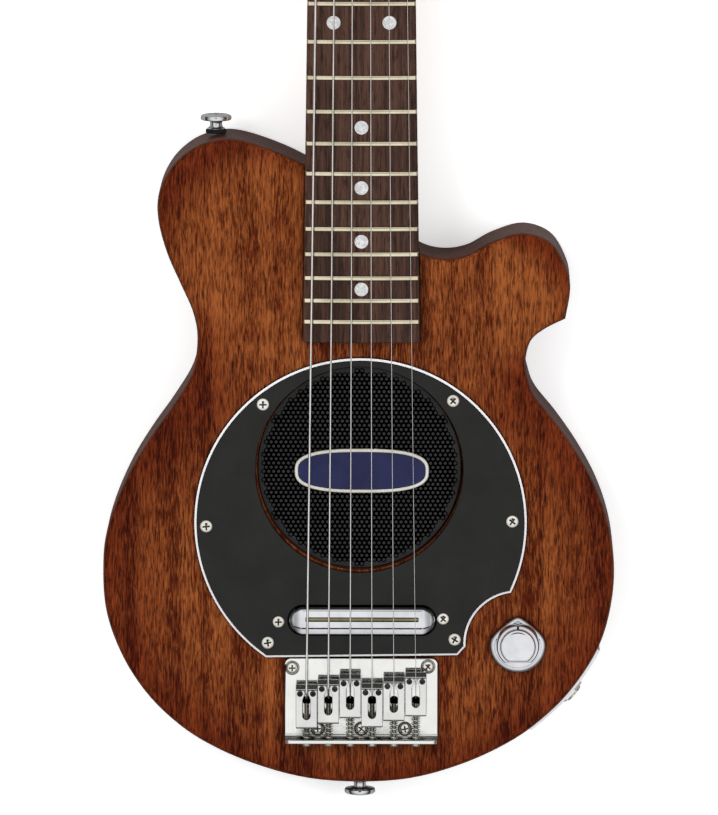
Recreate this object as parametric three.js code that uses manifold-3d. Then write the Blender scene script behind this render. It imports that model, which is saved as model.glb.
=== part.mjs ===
// Travel guitar with its own speaker, lying on its back.
// Millimetres. +X is the treble side, +Y the headstock, +Z out of the face.
// The origin is on the back of the body, under the middle of the saddle line.

import * as THREE from "three";
import { mergeVertices } from "three/addons/utils/BufferGeometryUtils.js";
import Module from "manifold-3d";

const wasm = await Module();
wasm.setup();

// Gaps and fineness
const seatGap = 0.3;
const runningGap = 0.1;
const glueLine = 0.1;
const overrun = 1;
const weldDistance = 0.0001;
const fineSides = 36;
const roundSides = 20;
const hiddenSides = 16;
const shaftSides = 14;
const wormSides = 12;
const smallSides = 8;
const hexSides = 6;
const cornerSteps = 2;

// Scale, strings and the curve across them
const scaleLength = 609.6;
const stringGauges = [1.17, 0.91, 0.66, 0.43, 0.33, 0.25];
const stringCount = stringGauges.length;
const saddlePitch = 10.44;
const nutPitch = 7.16;
const crownRadius = 305;
const stringOverFace = 12.7;
const stringOverBoard = 1.7;
const stringSides = 5;

// Body
const bodyWidth = 244.2;
const bodyLength = 309.9;
const tailReach = 52.6;
const bodyThickness = 44;
const bodyEdge = 2.6;
const outlineSteps = 2;

// Outline of the body's face, from the tip of the cutaway horn over both horns and round the tail:
// across as a share of the width from the centre line, along as a share of the length from the tail.
const bodyOutlineShares = [
  [0.397, 0.723], [0.4065, 0.77], [0.397, 0.806], [0.367, 0.842], [0.314, 0.856], [0.254, 0.8425],
  [0.205, 0.822], [0.158, 0.8165], [0.112, 0.826], [0.053, 0.858], [0, 0.893], [-0.055, 0.929],
  [-0.112, 0.961], [-0.179, 0.985], [-0.243, 0.9998], [-0.285, 0.9988], [-0.329, 0.986],
  [-0.369, 0.958], [-0.394, 0.918], [-0.396, 0.876], [-0.379, 0.824], [-0.352, 0.775],
  [-0.3285, 0.732], [-0.32, 0.69], [-0.331, 0.638], [-0.368, 0.588], [-0.41, 0.541],
  [-0.4475, 0.493], [-0.478, 0.441], [-0.4975, 0.393], [-0.5055, 0.347], [-0.502, 0.28],
  [-0.483, 0.224], [-0.446, 0.166], [-0.3915, 0.113], [-0.315, 0.066], [-0.207, 0.027],
  [-0.08, 0.003], [0.072, 0.003], [0.193, 0.027], [0.299, 0.067], [0.3755, 0.1145],
  [0.427, 0.162], [0.466, 0.215], [0.487, 0.272], [0.4943, 0.333], [0.485, 0.397],
  [0.461, 0.456], [0.425, 0.51], [0.381, 0.561], [0.3385, 0.603], [0.324, 0.633],
  [0.3197, 0.657], [0.329, 0.6875], [0.3555, 0.7065], [0.397, 0.723],
];

// Neck joint
const pocketDepth = 16;
const boardPastFret = 9.9;
const speakerToBoard = 13.2;
const boardEndWidth = 55.6;
const nutWidth = 44;
const boardThickness = 5.5;
const boardOverFace = 7.5;

// Frets
const fretWidth = 2.4;
const fretHeight = 1.1;
const fretShoulderShare = 0.5;
const crownSteps = 3;

// Neck
const neckDepth = 15.2;
const neckSections = 12;
const headThickness = 14;
const headDrop = 4.6;
const headLength = 165;
const headWidth = 80;
const rampLength = 13;

// Neck from the heel's end to the headstock: place as a share of the way from heel to nut,
// depth as a share of the depth at the nut, and how square the back is.
const neckStationShares = [
  [0, 1.158, 12], [0.165, 1.158, 12], [0.19, 1.157, 6], [0.225, 1.125, 3], [0.28, 1.1, 2.3],
  [0.6, 1.045, 2.2], [0.95, 1, 2.2], [1, 1.01, 2.2], [1.035, 1.11, 2.4], [1.07, 1.18, 3],
];

// Half outline of the headstock: across as a share of its width, along as a share of its length.
const headOutlineShares = [
  [0.276, 0], [0.288, 0.04], [0.36, 0.1], [0.455, 0.165], [0.5, 0.245], [0.487, 0.4],
  [0.468, 0.6], [0.452, 0.8], [0.425, 0.915], [0.33, 0.978], [0.17, 0.997], [0, 1],
];

// Truss rod
const trussRadius = 3;
const trussSetback = 15;
const trussCover = 1.4;
const trussNutRadius = 3.8;
const trussNutLength = 9;
const trussPastNut = 9;

// Nut
const nutThickness = 4.6;
const nutOverString = 0.5;
const nutSlotSpare = 0.25;

// Tuners
const firstPost = 42;
const postPitch = 38;
const postSpread = 26;
const postRadius = 3;
const postRise = 13.1;
const postEdge = 0.6;
const postHoleRadius = 0.9;
const stringOverHead = 10.5;
const windingTurns = 1.75;
const windingSteps = 12;
const windingSpace = 0.45;
const sleeveRadius = 4.7;
const hexRadius = 7.2;
const hexHeight = 2.2;
const housingWidth = 20;
const housingLength = 21;
const housingDepth = 10.5;
const housingCorner = 3;
const housingEdge = 1.4;
const housingOutset = 1.5;
const housingShift = 2;
const housingFloor = 1.8;
const wormOffset = 6.6;
const wormRadius = 2.5;
const wormDepth = 13;
const buttonStandoff = 2.6;
const buttonLength = 15;
const buttonWidth = 20;
const buttonThickness = 9;
const buttonCollar = 3.6;
const buttonCollarLength = 2.5;

// Neck plate and its screws
const plateWidth = 50;
const plateLength = 40;
const plateThickness = 2;
const plateCorner = 5;
const plateLead = 3;
const plateScrewInset = 7;
const plateScrewRadius = 2;
const plateScrewBite = 9;

// Speaker
const speakerX = -1;
const speakerY = 99.2;
const guardHoleRadius = 49.75;
const speakerSeatRadius = 48.6;
const speakerSeatDepth = 9.5;
const chamberRadius = 45;
const chamberSpare = 2.3;
const grilleThickness = 1.2;
const grilleRings = 4;
const grillePitch = 10;
const grilleHoleRadius = 3.8;
const basketFlange = 1.8;
const basketSkin = 1.4;
const surroundSeat = 1.4;
const surroundOuter = 43.7;
const surroundInner = 38;
const basketThroat = 25;
const basketDepth = 20.8;
const basketWindow = 26;
const coneSkin = 0.6;
const coneThroat = 12.1;
const coneDepth = 11;
const coilLength = 10;
const capRise = 4;
const magnetRadius = 22;
const magnetHeight = 7.2;
const magnetBack = 1.5;
const coilGap = 0.5;
const poleRise = 1.8;

// Pickguard
const guardThickness = 2.4;
const guardBevel = 1.5;
const guardX = -0.4;
const guardY = 73.5;
const guardRadius = 79.4;
const guardBottomBass = 8.25;
const guardBottomTreble = 9.5;
const guardChamferAcross = 3.9;
const scallopRadius = 24.9;
const scallopEnd = 13.8;
const guardSteps = 40;
const scallopSteps = 10;

// Pickup
const pickupX = 0.4;
const pickupY = 26.6;
const pickupLength = 70;
const pickupWidth = 13.4;
const pickupRise = 7;
const pickupFlatLength = 58;
const pickupFlatWidth = 9;
const pickupCrownShift = 1.05;
const pickupShoulder = 2.4;
const pickupEndRise = 5.6;

// Domed ends of the cover: half width and height, as shares of theirs
const pickupDomeShares = [[1, 0], [1, 0.5], [0.8, 0.85], [0.45, 1], [0, 1]];

// Pickup's wall, slot, blades and coil
const pickupSkin = 1.1;
const bobbinGap = 2.1;
const pickupSlotLength = 54;
const pickupSlotWidth = 2.2;
const pickupClearance = 0.8;
const bladeThickness = 0.6;
const bladeSpread = 0.55;
const earLength = 88;
const earWidth = 12;
const earThickness = 1.6;
const coilBlockDepth = 11;
const pickupPocketSpare = 3;
const pickupPocketDepth = 17;

// Bridge
const bridgeWidth = 73.1;
const bridgeFront = 8;
const bridgeBack = 32.2;
const bridgeThickness = 2;
const bridgeCorner = 3;
const lipHeight = 9.6;
const lipThickness = 1.8;
const lipFillet = 2;
const stringHoleLine = -11.5;
const stringHoleRadius = 1.4;
const screwLine = 6;
const intonationRadius = 1.25;
const intonationTip = -13;
const intonationHeadRadius = 2.5;
const intonationHeadLength = 1.8;
const intonationCrownShare = 0.7;

// Saddles: where each front stands is the tuning of that string
const saddleFronts = [-1.4, 1.1, 3.9, -0.5, 2.5, 4.7];
const saddleLength = 23.6;
const saddleSheet = 1.6;
const saddleRidge = 4;
const saddleRidgeRise = 1;
const saddleBend = 1.8;
const saddleFootGap = 2.2;
const keyholeTip = 1.8;
const keyholeLength = 4.8;
const slotWidth = 3.6;
const slotEnd = 18.6;
const heightScrewSpread = 3.1;
const heightScrewSetback = 6;
const heightScrewRadius = 1.1;
const heightScrewRise = 0.4;
const saddleTravelSpare = 1.3;
const stringDropHeight = 0.7;

// Springs round the intonation screws
const springWire = 0.5;
const springRadius = 1.95;
const springPitch = 1.9;
const springSteps = 8;
const springSides = 4;

// Ferrule block at the back
const ferruleMargin = 4.9;
const ferruleWidth = 8;
const ferruleThickness = 6;
const ferruleCorner = 3.5;
const stringHoleSpare = 0.4;
const stringEnd = 2;

// Volume control
const knobX = 74.8;
const knobY = 15.1;
const knobRadius = 13.3;
const knobHeight = 12;
const knobSkirt = 3;
const knobTopRadius = 11.4;
const knobEdge = 1.6;
const knobHollow = 9.4;
const knobHollowDepth = 5;
const knobSides = 28;
const potRadius = 12;
const potHeight = 9;
const potBushing = 4.2;
const potBushingRise = 3.4;
const potNutRadius = 7;
const potNutHeight = 1.7;
const potHoleSpare = 0.35;
const shaftRadius = 3;
const potFloor = 1.5;

// Control cavity and its cover
const cavityShiftX = -4.8;
const cavityShiftY = 4.2;
const cavityWidth = 52;
const cavityLength = 48;
const cavityCorner = 10;
const cavityRoof = 6.4;
const coverThickness = 2;
const coverLedge = 4.5;

// Amplifier board
const ampWidth = 36;
const ampLength = 13;
const ampThickness = 1.6;
const ampDrop = 10;
const ampWall = 1.5;
const ampPostRadius = 2.2;
const ampPostInset = 3.5;
const chipWidth = 9;
const chipLength = 6;
const chipHeight = 2.4;
const canRadius = 3;
const canHeight = 6;
const canSpread = 10.8;

// Battery and its door
const batteryX = -63;
const batteryY = 21;
const batteryLength = 48.5;
const batteryWidth = 26.5;
const batteryHeight = 17.5;
const batteryCorner = 2;
const batterySpare = 1;
const terminalRadius = 3;
const terminalLength = 2.6;
const terminalSpread = 6.4;
const doorLedge = 3.5;
const doorThickness = 2.2;
const doorPinRadius = 0.75;
const doorPinLength = 2;
const doorSink = 0.3;

// Output jack on the lower treble edge: its middle as a share of the outline's points.
const jackPlaceShare = 0.755;
const jackPlateHalf = 25.5;
const jackPlateHeight = 28;
const jackPlateThickness = 1.5;
const jackTubeRadius = 4.7;
const jackBoreRadius = 3.2;
const jackTubeRise = 1;
const jackTubeReach = 22;
const jackHexRadius = 6.8;
const jackHexHeight = 2;
const jackHoleSpare = 4;
const jackHoleReach = 34;
const jackFloor = 2;

// Strap buttons: the upper one's place as a share of the outline's points
const upperButtonShare = 0.273;
const strapFlange = 7.4;
const strapFlangeHeight = 3.2;
const strapDome = 1.1;
const strapTopFlat = 4.2;
const strapStem = 2.9;
const strapStemHeight = 3.6;
const strapFeltRadius = 4.9;
const strapFeltHeight = 2.4;
const strapScrewRadius = 1.7;
const strapScrewLength = 18;

// Heights that follow from the sizes above
const faceTop = bodyThickness;
const strapHeight = bodyThickness / 2;
const neckSeat = faceTop + boardOverFace - boardThickness;
const boardTop = faceTop + boardOverFace;
const pocketFloor = faceTop - pocketDepth;
const headFace = neckSeat - headDrop;
const headBack = headFace - headThickness;
const nutBack = scaleLength + nutThickness + seatGap;
const guardSeat = faceTop + seatGap;
const bridgeSeat = faceTop + seatGap;
const bridgeTop = bridgeSeat + bridgeThickness;
const screwHeight = bridgeTop + screwLine - lipFillet;
const speakerSeat = faceTop - speakerSeatDepth;
const flangeTop = speakerSeat + seatGap + basketFlange;
const surroundFloor = flangeTop - surroundSeat;
const basketBack = flangeTop - basketDepth;
const magnetLow = basketBack - seatGap - magnetHeight;
const potTop = faceTop - cavityRoof - seatGap;
const bushingTop = faceTop + potBushingRise;

// Places that follow from the sizes above
const boardEnd = speakerY + speakerSeatRadius + speakerToBoard;
const fretCount = Math.floor(12 * Math.log2(scaleLength / (boardEnd + boardPastFret)));
const plateStart = boardEnd - plateLead;
const trussStart = boardEnd + trussSetback;
const lipFace = -bridgeBack + lipThickness;
const cavityX = knobX + cavityShiftX;
const cavityY = knobY + cavityShiftY;
const buttonStart = headWidth / 2 + buttonStandoff;
const ferruleLength = (stringCount - 1) * saddlePitch + 2 * ferruleMargin;

// Solids from three.js geometry, joined and cut
function solidOf(geometry) {
  const bare = geometry.clone();
  bare.deleteAttribute("normal");
  bare.deleteAttribute("uv");
  const welded = mergeVertices(bare, weldDistance);
  const corners = welded.attributes.position;
  const index = welded.index.array;
  const kept = [];
  let volume = 0;
  const [p, q, r] = [new THREE.Vector3(), new THREE.Vector3(), new THREE.Vector3()];
  for (let i = 0; i < index.length; i += 3) {
    const [a, b, c] = [index[i], index[i + 1], index[i + 2]];
    if (a === b || b === c || c === a) continue;
    kept.push([a, b, c]);
    p.fromBufferAttribute(corners, a);
    q.fromBufferAttribute(corners, b);
    r.fromBufferAttribute(corners, c);
    volume += p.dot(q.cross(r));
  }
  const facing = volume < 0 ? kept.map(([a, b, c]) => [a, c, b]) : kept;
  return new wasm.Manifold(new wasm.Mesh({
    numProp: 3,
    vertProperties: Float32Array.from(corners.array),
    triVerts: Uint32Array.from(facing.flat()),
  }));
}

function geometryOf(solid) {
  const mesh = solid.getMesh();
  const geometry = new THREE.BufferGeometry();
  geometry.setAttribute("position", new THREE.BufferAttribute(mesh.vertProperties, 3));
  geometry.setIndex(new THREE.BufferAttribute(mesh.triVerts, 1));
  geometry.computeVertexNormals();
  return geometry;
}

function join(...pieces) {
  return geometryOf(pieces.map(solidOf).reduce((whole, piece) => whole.add(piece)));
}

function cut(base, ...tools) {
  return geometryOf(tools.map(solidOf).reduce((whole, tool) => whole.subtract(tool), solidOf(base)));
}

// Basic forms, each standing on z = 0 at the origin
function block(width, depth, height) {
  return new THREE.BoxGeometry(width, depth, height).translate(0, 0, height / 2);
}

function rod(radius, height, sides) {
  const cylinder = new THREE.CylinderGeometry(radius, radius, height, sides);
  return cylinder.rotateX(Math.PI / 2).translate(0, 0, height / 2);
}

function turned(profile, sides) {
  const points = profile.map(([radius, height]) => new THREE.Vector2(radius, height));
  return new THREE.LatheGeometry(points, sides).rotateX(Math.PI / 2);
}

function prism(shape, height, steps = cornerSteps) {
  return new THREE.ExtrudeGeometry(shape, { depth: height, bevelEnabled: false, curveSegments: steps });
}

function polygon(points) {
  return new THREE.Shape(points.map(([x, y]) => new THREE.Vector2(x, y)));
}

function roundedRectangle(width, length, corner) {
  const [x, y] = [width / 2 - corner, length / 2 - corner];
  const shape = new THREE.Shape();
  shape.absarc(x, y, corner, 0, Math.PI / 2);
  shape.absarc(-x, y, corner, Math.PI / 2, Math.PI);
  shape.absarc(-x, -y, corner, Math.PI, 1.5 * Math.PI);
  shape.absarc(x, -y, corner, 1.5 * Math.PI, 2 * Math.PI);
  return shape;
}

function regularShape(radius, sides) {
  const corners = Array.from({ length: sides }, (_, i) => (2 * Math.PI * i) / sides);
  return polygon(corners.map((angle) => [radius * Math.cos(angle), radius * Math.sin(angle)]));
}

// A side view drawn along Y and Z, extruded across and centred on x = 0
function acrossPrism(shape, width) {
  const turn = new THREE.Matrix4().makeBasis(
    new THREE.Vector3(0, 1, 0),
    new THREE.Vector3(0, 0, 1),
    new THREE.Vector3(1, 0, 0),
  );
  return prism(shape, width).applyMatrix4(turn).translate(-width / 2, 0, 0);
}

// A path that a tube follows with one ring at each of its stations
class StationPath extends THREE.Curve {
  constructor(stations) {
    super();
    this.stations = stations;
  }

  getPoint(t, target = new THREE.Vector3()) {
    const last = this.stations.length - 1;
    return target.copy(this.stations[Math.round(t * last)]);
  }

  getPointAt(u, target) {
    return this.getPoint(u, target);
  }

  getTangentAt(u, target = new THREE.Vector3()) {
    const last = this.stations.length - 1;
    const place = Math.round(u * last);
    const here = this.stations[place];
    const before = here.clone().sub(this.stations[Math.max(place - 1, 0)]).normalize();
    const after = this.stations[Math.min(place + 1, last)].clone().sub(here).normalize();
    return target.copy(before.add(after)).normalize();
  }
}

function tube(stations, radius, sides) {
  return new THREE.ExtrudeGeometry(regularShape(radius, sides), {
    steps: stations.length - 1,
    bevelEnabled: false,
    extrudePath: new StationPath(stations),
  });
}

// The least gap between the turns of a winding, measured on its stations
function printLeastGap(name, stations, thickness, stepsPerTurn) {
  let least = Infinity;
  for (let i = 0; i < stations.length; i += 1) {
    for (let j = i + Math.ceil(stepsPerTurn / 2); j < stations.length; j += 1) {
      least = Math.min(least, stations[i].distanceTo(stations[j]) - thickness);
    }
  }
  console.log(`${name}: least gap to itself ${least.toFixed(2)} mm`);
}

// Materials, by what the piece is made of
function finish(color, roughness, metalness) {
  return new THREE.MeshStandardMaterial({ color, roughness, metalness });
}

const mahogany = () => finish(0x7e4020, 0.45, 0);
const rosewood = () => finish(0x3c2a24, 0.6, 0);
const maple = () => finish(0xc79a5c, 0.5, 0);
const chrome = () => finish(0xd8dade, 0.12, 1);
const nickel = () => finish(0xb9b6aa, 0.3, 1);
const blackPlastic = () => finish(0x17171a, 0.4, 0);
const bone = () => finish(0xe6dfcc, 0.5, 0);
const darkSteel = () => finish(0x3a3b3e, 0.5, 1);
const paper = () => finish(0x1d1b1a, 0.9, 0);
const circuitGreen = () => finish(0x1f5a38, 0.6, 0);
const batteryShell = () => finish(0x25262b, 0.4, 0.3);

const guitar = new THREE.Group();

function add(name, geometry, material) {
  const mesh = new THREE.Mesh(geometryOf(solidOf(geometry)), material);
  mesh.name = name;
  guitar.add(mesh);
}

// Places that several pieces share
function crownDrop(x) {
  return (x * x) / (2 * crownRadius);
}

function boardWidth(y) {
  const taper = (boardEndWidth - nutWidth) / (scaleLength - boardEnd);
  return nutWidth + taper * (scaleLength - y);
}

function fretPlace(number) {
  return scaleLength * 2 ** (-number / 12);
}

function stringAcross(index, pitch) {
  return (index - (stringCount - 1) / 2) * pitch;
}

function stringHeightAtSaddle(index) {
  return faceTop + stringOverFace - crownDrop(stringAcross(index, saddlePitch));
}

function stringHeightAtNut(index) {
  return boardTop + stringOverBoard - crownDrop(stringAcross(index, nutPitch));
}

function stringHeight(index, y) {
  const atSaddle = stringHeightAtSaddle(index);
  return atSaddle + ((stringHeightAtNut(index) - atSaddle) * y) / scaleLength;
}

const bodyOutline = bodyOutlineCurve();
const bodyTop = bodyOutline.reduce((best, point) => (point.y > best.y ? point : best));
const bodyTail = bodyOutline.reduce((best, point) => (point.y < best.y ? point : best));
const upperButtonX = bodyOutline[Math.round(upperButtonShare * bodyOutline.length)].x;

function bodyOutlineCurve() {
  const knots = bodyOutlineShares.map(
    ([across, along]) => new THREE.Vector2(across * bodyWidth, along * bodyLength - tailReach),
  );
  return new THREE.SplineCurve(knots).getPoints((knots.length - 1) * outlineSteps).slice(0, -1);
}

// The jack's middle on the outline and the direction out of the edge there
function jackPlace() {
  const index = Math.round(jackPlaceShare * bodyOutline.length);
  const [before, middle, after] = [index - 1, index, index + 1].map((i) => bodyOutline[i]);
  const along = after.clone().sub(before).normalize();
  const out = new THREE.Vector2(along.y, -along.x);
  return { middle, out };
}

// A solid that points along +Z is laid so that it points out of the body's edge at the jack
function towardsJack(geometry) {
  const { middle, out } = jackPlace();
  const turn = new THREE.Quaternion().setFromUnitVectors(
    new THREE.Vector3(0, 0, 1),
    new THREE.Vector3(out.x, out.y, 0),
  );
  return geometry.applyQuaternion(turn).translate(middle.x, middle.y, strapHeight);
}

// Body: one mahogany slab with every pocket that the other pieces sit in
function body() {
  const slab = new THREE.ExtrudeGeometry(new THREE.Shape(bodyOutline), {
    depth: bodyThickness - 2 * bodyEdge,
    bevelThickness: bodyEdge,
    bevelSize: bodyEdge,
    bevelOffset: -bodyEdge,
    bevelSegments: 2,
  }).translate(0, 0, bodyEdge);
  return cut(
    slab,
    neckPocket(),
    rod(speakerSeatRadius, speakerSeatDepth + overrun, fineSides)
      .translate(speakerX, speakerY, faceTop - speakerSeatDepth),
    rod(chamberRadius, faceTop, fineSides).translate(speakerX, speakerY, magnetLow - chamberSpare),
    pickupPocket(),
    ...controlPockets(),
    ...batteryPockets(),
    ...stringHoles(stringHoleRadius + stringHoleSpare, 0, faceTop),
    prism(roundedRectangle(
      ferruleLength + 2 * seatGap, ferruleWidth + 2 * seatGap, ferruleCorner,
    ), ferruleThickness + 2 * seatGap + overrun).translate(0, stringHoleLine, -overrun),
    prism(roundedRectangle(
      plateWidth + 2 * seatGap, plateLength + 2 * seatGap, plateCorner,
    ), plateThickness + 2 * seatGap + overrun).translate(0, plateStart + plateLength / 2, -overrun),
    ...plateScrews(plateScrewRadius + seatGap, -overrun, pocketFloor + overrun),
    ...strapScrewHoles(),
    towardsJack(rod(jackTubeRadius + jackHoleSpare, jackHoleReach, smallSides)
      .translate(0, 0, -jackHoleReach + overrun)),
  );
}

function neckPocket() {
  const far = bodyLength;
  const near = boardEnd - seatGap;
  const [nearHalf, farHalf] = [near, far].map((y) => boardWidth(y) / 2 + seatGap);
  const floor = polygon([[-nearHalf, near], [nearHalf, near], [farHalf, far], [-farHalf, far]]);
  return prism(floor, pocketDepth + overrun).translate(0, 0, pocketFloor);
}

function pickupPocket() {
  const width = earLength + 2 * pickupPocketSpare;
  const length = earWidth + 2 * pickupPocketSpare;
  const floor = roundedRectangle(width, length, length / 2);
  return prism(floor, pickupPocketDepth + overrun)
    .translate(pickupX, pickupY, faceTop - pickupPocketDepth);
}

function controlPockets() {
  const cavity = roundedRectangle(cavityWidth, cavityLength, cavityCorner);
  const recess = roundedRectangle(
    cavityWidth + 2 * (coverLedge + seatGap),
    cavityLength + 2 * (coverLedge + seatGap),
    cavityCorner + coverLedge,
  );
  return [
    prism(cavity, faceTop - cavityRoof + overrun).translate(cavityX, cavityY, -overrun),
    prism(recess, coverThickness + 2 * seatGap + overrun).translate(cavityX, cavityY, -overrun),
    rod(potBushing + potHoleSpare, faceTop, shaftSides).translate(knobX, knobY, overrun),
  ];
}

function batteryPockets() {
  const width = batteryLength + terminalLength + 2 * batterySpare;
  const length = batteryWidth + 2 * batterySpare;
  const well = roundedRectangle(width, length, batteryCorner);
  const wellDepth = doorSink + doorThickness + batterySpare + batteryHeight + seatGap;
  const { doorWidth, doorLength, doorTop, pinY, pinZ } = doorSizes();
  const recess = roundedRectangle(doorWidth + 2 * seatGap, doorLength + 2 * seatGap, seatGap);
  const boreLength = doorWidth + 2 * (doorPinLength + seatGap);
  const pinBore = rod(doorPinRadius + runningGap, boreLength, shaftSides)
    .rotateY(Math.PI / 2)
    .translate(batteryX - doorWidth / 2 - doorPinLength - seatGap, pinY, pinZ);
  return [
    prism(well, wellDepth + overrun).translate(batteryX, batteryY, -overrun),
    prism(recess, doorTop + seatGap + overrun).translate(batteryX, batteryY, -overrun),
    pinBore,
  ];
}

function doorSizes() {
  const doorWidth = batteryLength + terminalLength + 2 * (batterySpare + doorLedge);
  const doorLength = batteryWidth + 2 * (batterySpare + doorLedge);
  const doorTop = doorSink + doorThickness;
  const pinY = batteryY - doorLength / 2 + doorThickness / 2;
  const pinZ = doorSink + doorThickness / 2;
  return { doorWidth, doorLength, doorTop, pinY, pinZ };
}

function stringHoles(radius, low, high) {
  return stringGauges.map((_, index) => rod(radius, high - low + 2 * overrun, smallSides)
    .translate(stringAcross(index, saddlePitch), stringHoleLine, low - overrun));
}

function plateScrews(radius, low, high) {
  const across = plateWidth / 2 - plateScrewInset;
  const along = plateLength / 2 - plateScrewInset;
  const middle = plateStart + plateLength / 2;
  const corners = [[-across, -along], [across, -along], [across, along], [-across, along]];
  return corners.map(
    ([x, y]) => rod(radius, high - low, smallSides).translate(x, middle + y, low),
  );
}

function strapScrewHoles() {
  const radius = strapScrewRadius + seatGap;
  const length = strapScrewLength + seatGap + overrun;
  const hole = rod(radius, length, smallSides).rotateX(-Math.PI / 2);
  return [
    hole.clone().translate(upperButtonX, bodyTop.y - length + overrun, strapHeight),
    hole.translate(bodyTail.x, bodyTail.y - overrun, strapHeight),
  ];
}

// Neck: a maple loft with its heel and headstock, the truss rod's channel and the screw and tuner holes
function neck() {
  const loft = neckLoft();
  const head = prism(headOutline(), headThickness).translate(0, 0, headBack);
  const channelTop = neckSeat + overrun;
  const channelFloor = trussAxis() - trussNutRadius - seatGap;
  const channelEnd = nutBack + trussPastNut + trussNutLength + seatGap;
  const channelStart = trussStart - seatGap;
  const channelWidth = 2 * (trussNutRadius + seatGap);
  const channel = block(channelWidth, channelEnd - channelStart, channelTop - channelFloor)
    .translate(0, (channelEnd + channelStart) / 2, channelFloor);
  return cut(
    join(loft, head),
    headRamp(),
    channel,
    ...plateScrews(plateScrewRadius + seatGap, pocketFloor - overrun, plateScrewTop() + seatGap),
    ...postPlaces().map(
      ({ x, y }) => rod(sleeveRadius + seatGap, headThickness + 2 * overrun, wormSides)
        .translate(x, y, headBack - overrun),
    ),
  );
}

function neckLoft() {
  const heelEnd = boardEnd + seatGap;
  const rings = neckStationShares.map(([along, depth, square]) => {
    const y = heelEnd + along * (scaleLength - heelEnd);
    const half = boardWidth(Math.min(y, scaleLength)) / 2;
    return neckSection(half, depth * neckDepth).map(([x, z]) => [x, y, z]);

    function neckSection(halfWidth, sectionDepth) {
      return Array.from({ length: neckSections }, (_, i) => {
        const angle = (Math.PI * i) / (neckSections - 1);
        const [cosine, sine] = [Math.cos(angle), Math.sin(angle)];
        const across = Math.sign(cosine) * Math.abs(cosine) ** (2 / square);
        return [halfWidth * across, neckSeat - sectionDepth * Math.abs(sine) ** (2 / square)];
      });
    }
  });
  return loftOf(rings);
}

// A closed solid through rings of equal count, with flat fans over its two ends
function loftOf(rings) {
  const count = rings[0].length;
  const positions = rings.flat(2);
  const index = [];
  for (let ring = 0; ring + 1 < rings.length; ring += 1) {
    for (let i = 0; i < count; i += 1) {
      const next = (i + 1) % count;
      const [a, b] = [ring * count + i, ring * count + next];
      const [c, d] = [a + count, b + count];
      index.push(a, b, d, a, d, c);
    }
  }
  const lastRing = (rings.length - 1) * count;
  for (let i = 1; i + 1 < count; i += 1) {
    index.push(0, i + 1, i, lastRing, lastRing + i, lastRing + i + 1);
  }
  const geometry = new THREE.BufferGeometry();
  geometry.setAttribute("position", new THREE.Float32BufferAttribute(positions, 3));
  geometry.setIndex(index);
  return geometry;
}

function headOutline() {
  const right = headOutlineShares.map(
    ([across, along]) => new THREE.Vector2(across * headWidth, nutBack + along * headLength),
  );
  const left = right.slice(0, -1).reverse().map((point) => new THREE.Vector2(-point.x, point.y));
  const knots = [...right, ...left];
  return new THREE.Shape(new THREE.SplineCurve(knots).getPoints((knots.length - 1) * outlineSteps));
}

function headRamp() {
  const shape = new THREE.Shape();
  const far = nutBack + headLength + overrun;
  shape.moveTo(nutBack, neckSeat + overrun);
  shape.lineTo(nutBack, neckSeat);
  shape.quadraticCurveTo(nutBack + rampLength / 4, headFace, nutBack + rampLength, headFace);
  shape.lineTo(far, headFace);
  shape.lineTo(far, neckSeat + overrun);
  return acrossPrism(shape, headWidth);
}

// Truss rod with its hex nut, set in from the face side
function trussRod() {
  const length = nutBack + trussPastNut - trussStart;
  const bar = rod(trussRadius, length, smallSides);
  const hex = rod(trussNutRadius, trussNutLength + overrun, hexSides).translate(0, 0, length - overrun);
  return join(bar, hex).rotateX(-Math.PI / 2).translate(0, trussStart, trussAxis());
}

function trussAxis() {
  return neckSeat - trussCover - trussRadius;
}

// Fretboard with its frets: one side view drawn with every fret, tapered and crowned afterwards
function fretboard() {
  const bottom = neckSeat + glueLine;
  const profile = [[scaleLength, bottom], [scaleLength, boardTop]];
  for (let number = 1; number <= fretCount; number += 1) {
    const y = fretPlace(number);
    const half = fretWidth / 2;
    const shoulder = half * fretShoulderShare;
    profile.push(
      [y + half, boardTop],
      [y + shoulder, boardTop + fretHeight],
      [y - shoulder, boardTop + fretHeight],
      [y - half, boardTop],
    );
  }
  profile.push([boardEnd, boardTop], [boardEnd, bottom]);
  const turn = new THREE.Matrix4().makeBasis(
    new THREE.Vector3(0, 1, 0),
    new THREE.Vector3(0, 0, 1),
    new THREE.Vector3(1, 0, 0),
  );
  const plain = new THREE.ExtrudeGeometry(polygon(profile), {
    depth: 1,
    steps: crownSteps,
    bevelEnabled: false,
  }).applyMatrix4(turn);
  const corners = plain.attributes.position;
  for (let i = 0; i < corners.count; i += 1) {
    const [y, z] = [corners.getY(i), corners.getZ(i)];
    const x = (corners.getX(i) - 0.5) * boardWidth(y);
    const drop = z > bottom + boardThickness / 2 ? crownDrop(x) : 0;
    corners.setXYZ(i, x, y, z - drop);
  }
  return plain;
}

// Nut: a front view with one slot for each string
function nut() {
  const half = nutWidth / 2;
  const bottom = neckSeat + seatGap;
  const topAt = (x) => boardTop + stringOverBoard + nutOverString - crownDrop(x);
  const outline = [[-half, bottom], [half, bottom], [half, topAt(half)]];
  for (let index = stringCount - 1; index >= 0; index -= 1) {
    const x = stringAcross(index, nutPitch);
    const side = stringGauges[index] / 2 + nutSlotSpare;
    const floor = stringHeightAtNut(index) - side;
    outline.push([x + side, topAt(x)], [x + side, floor], [x - side, floor], [x - side, topAt(x)]);
  }
  outline.push([-half, topAt(-half)]);
  return prism(polygon(outline), nutThickness).rotateX(Math.PI / 2).translate(0, nutBack, 0);
}

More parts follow.
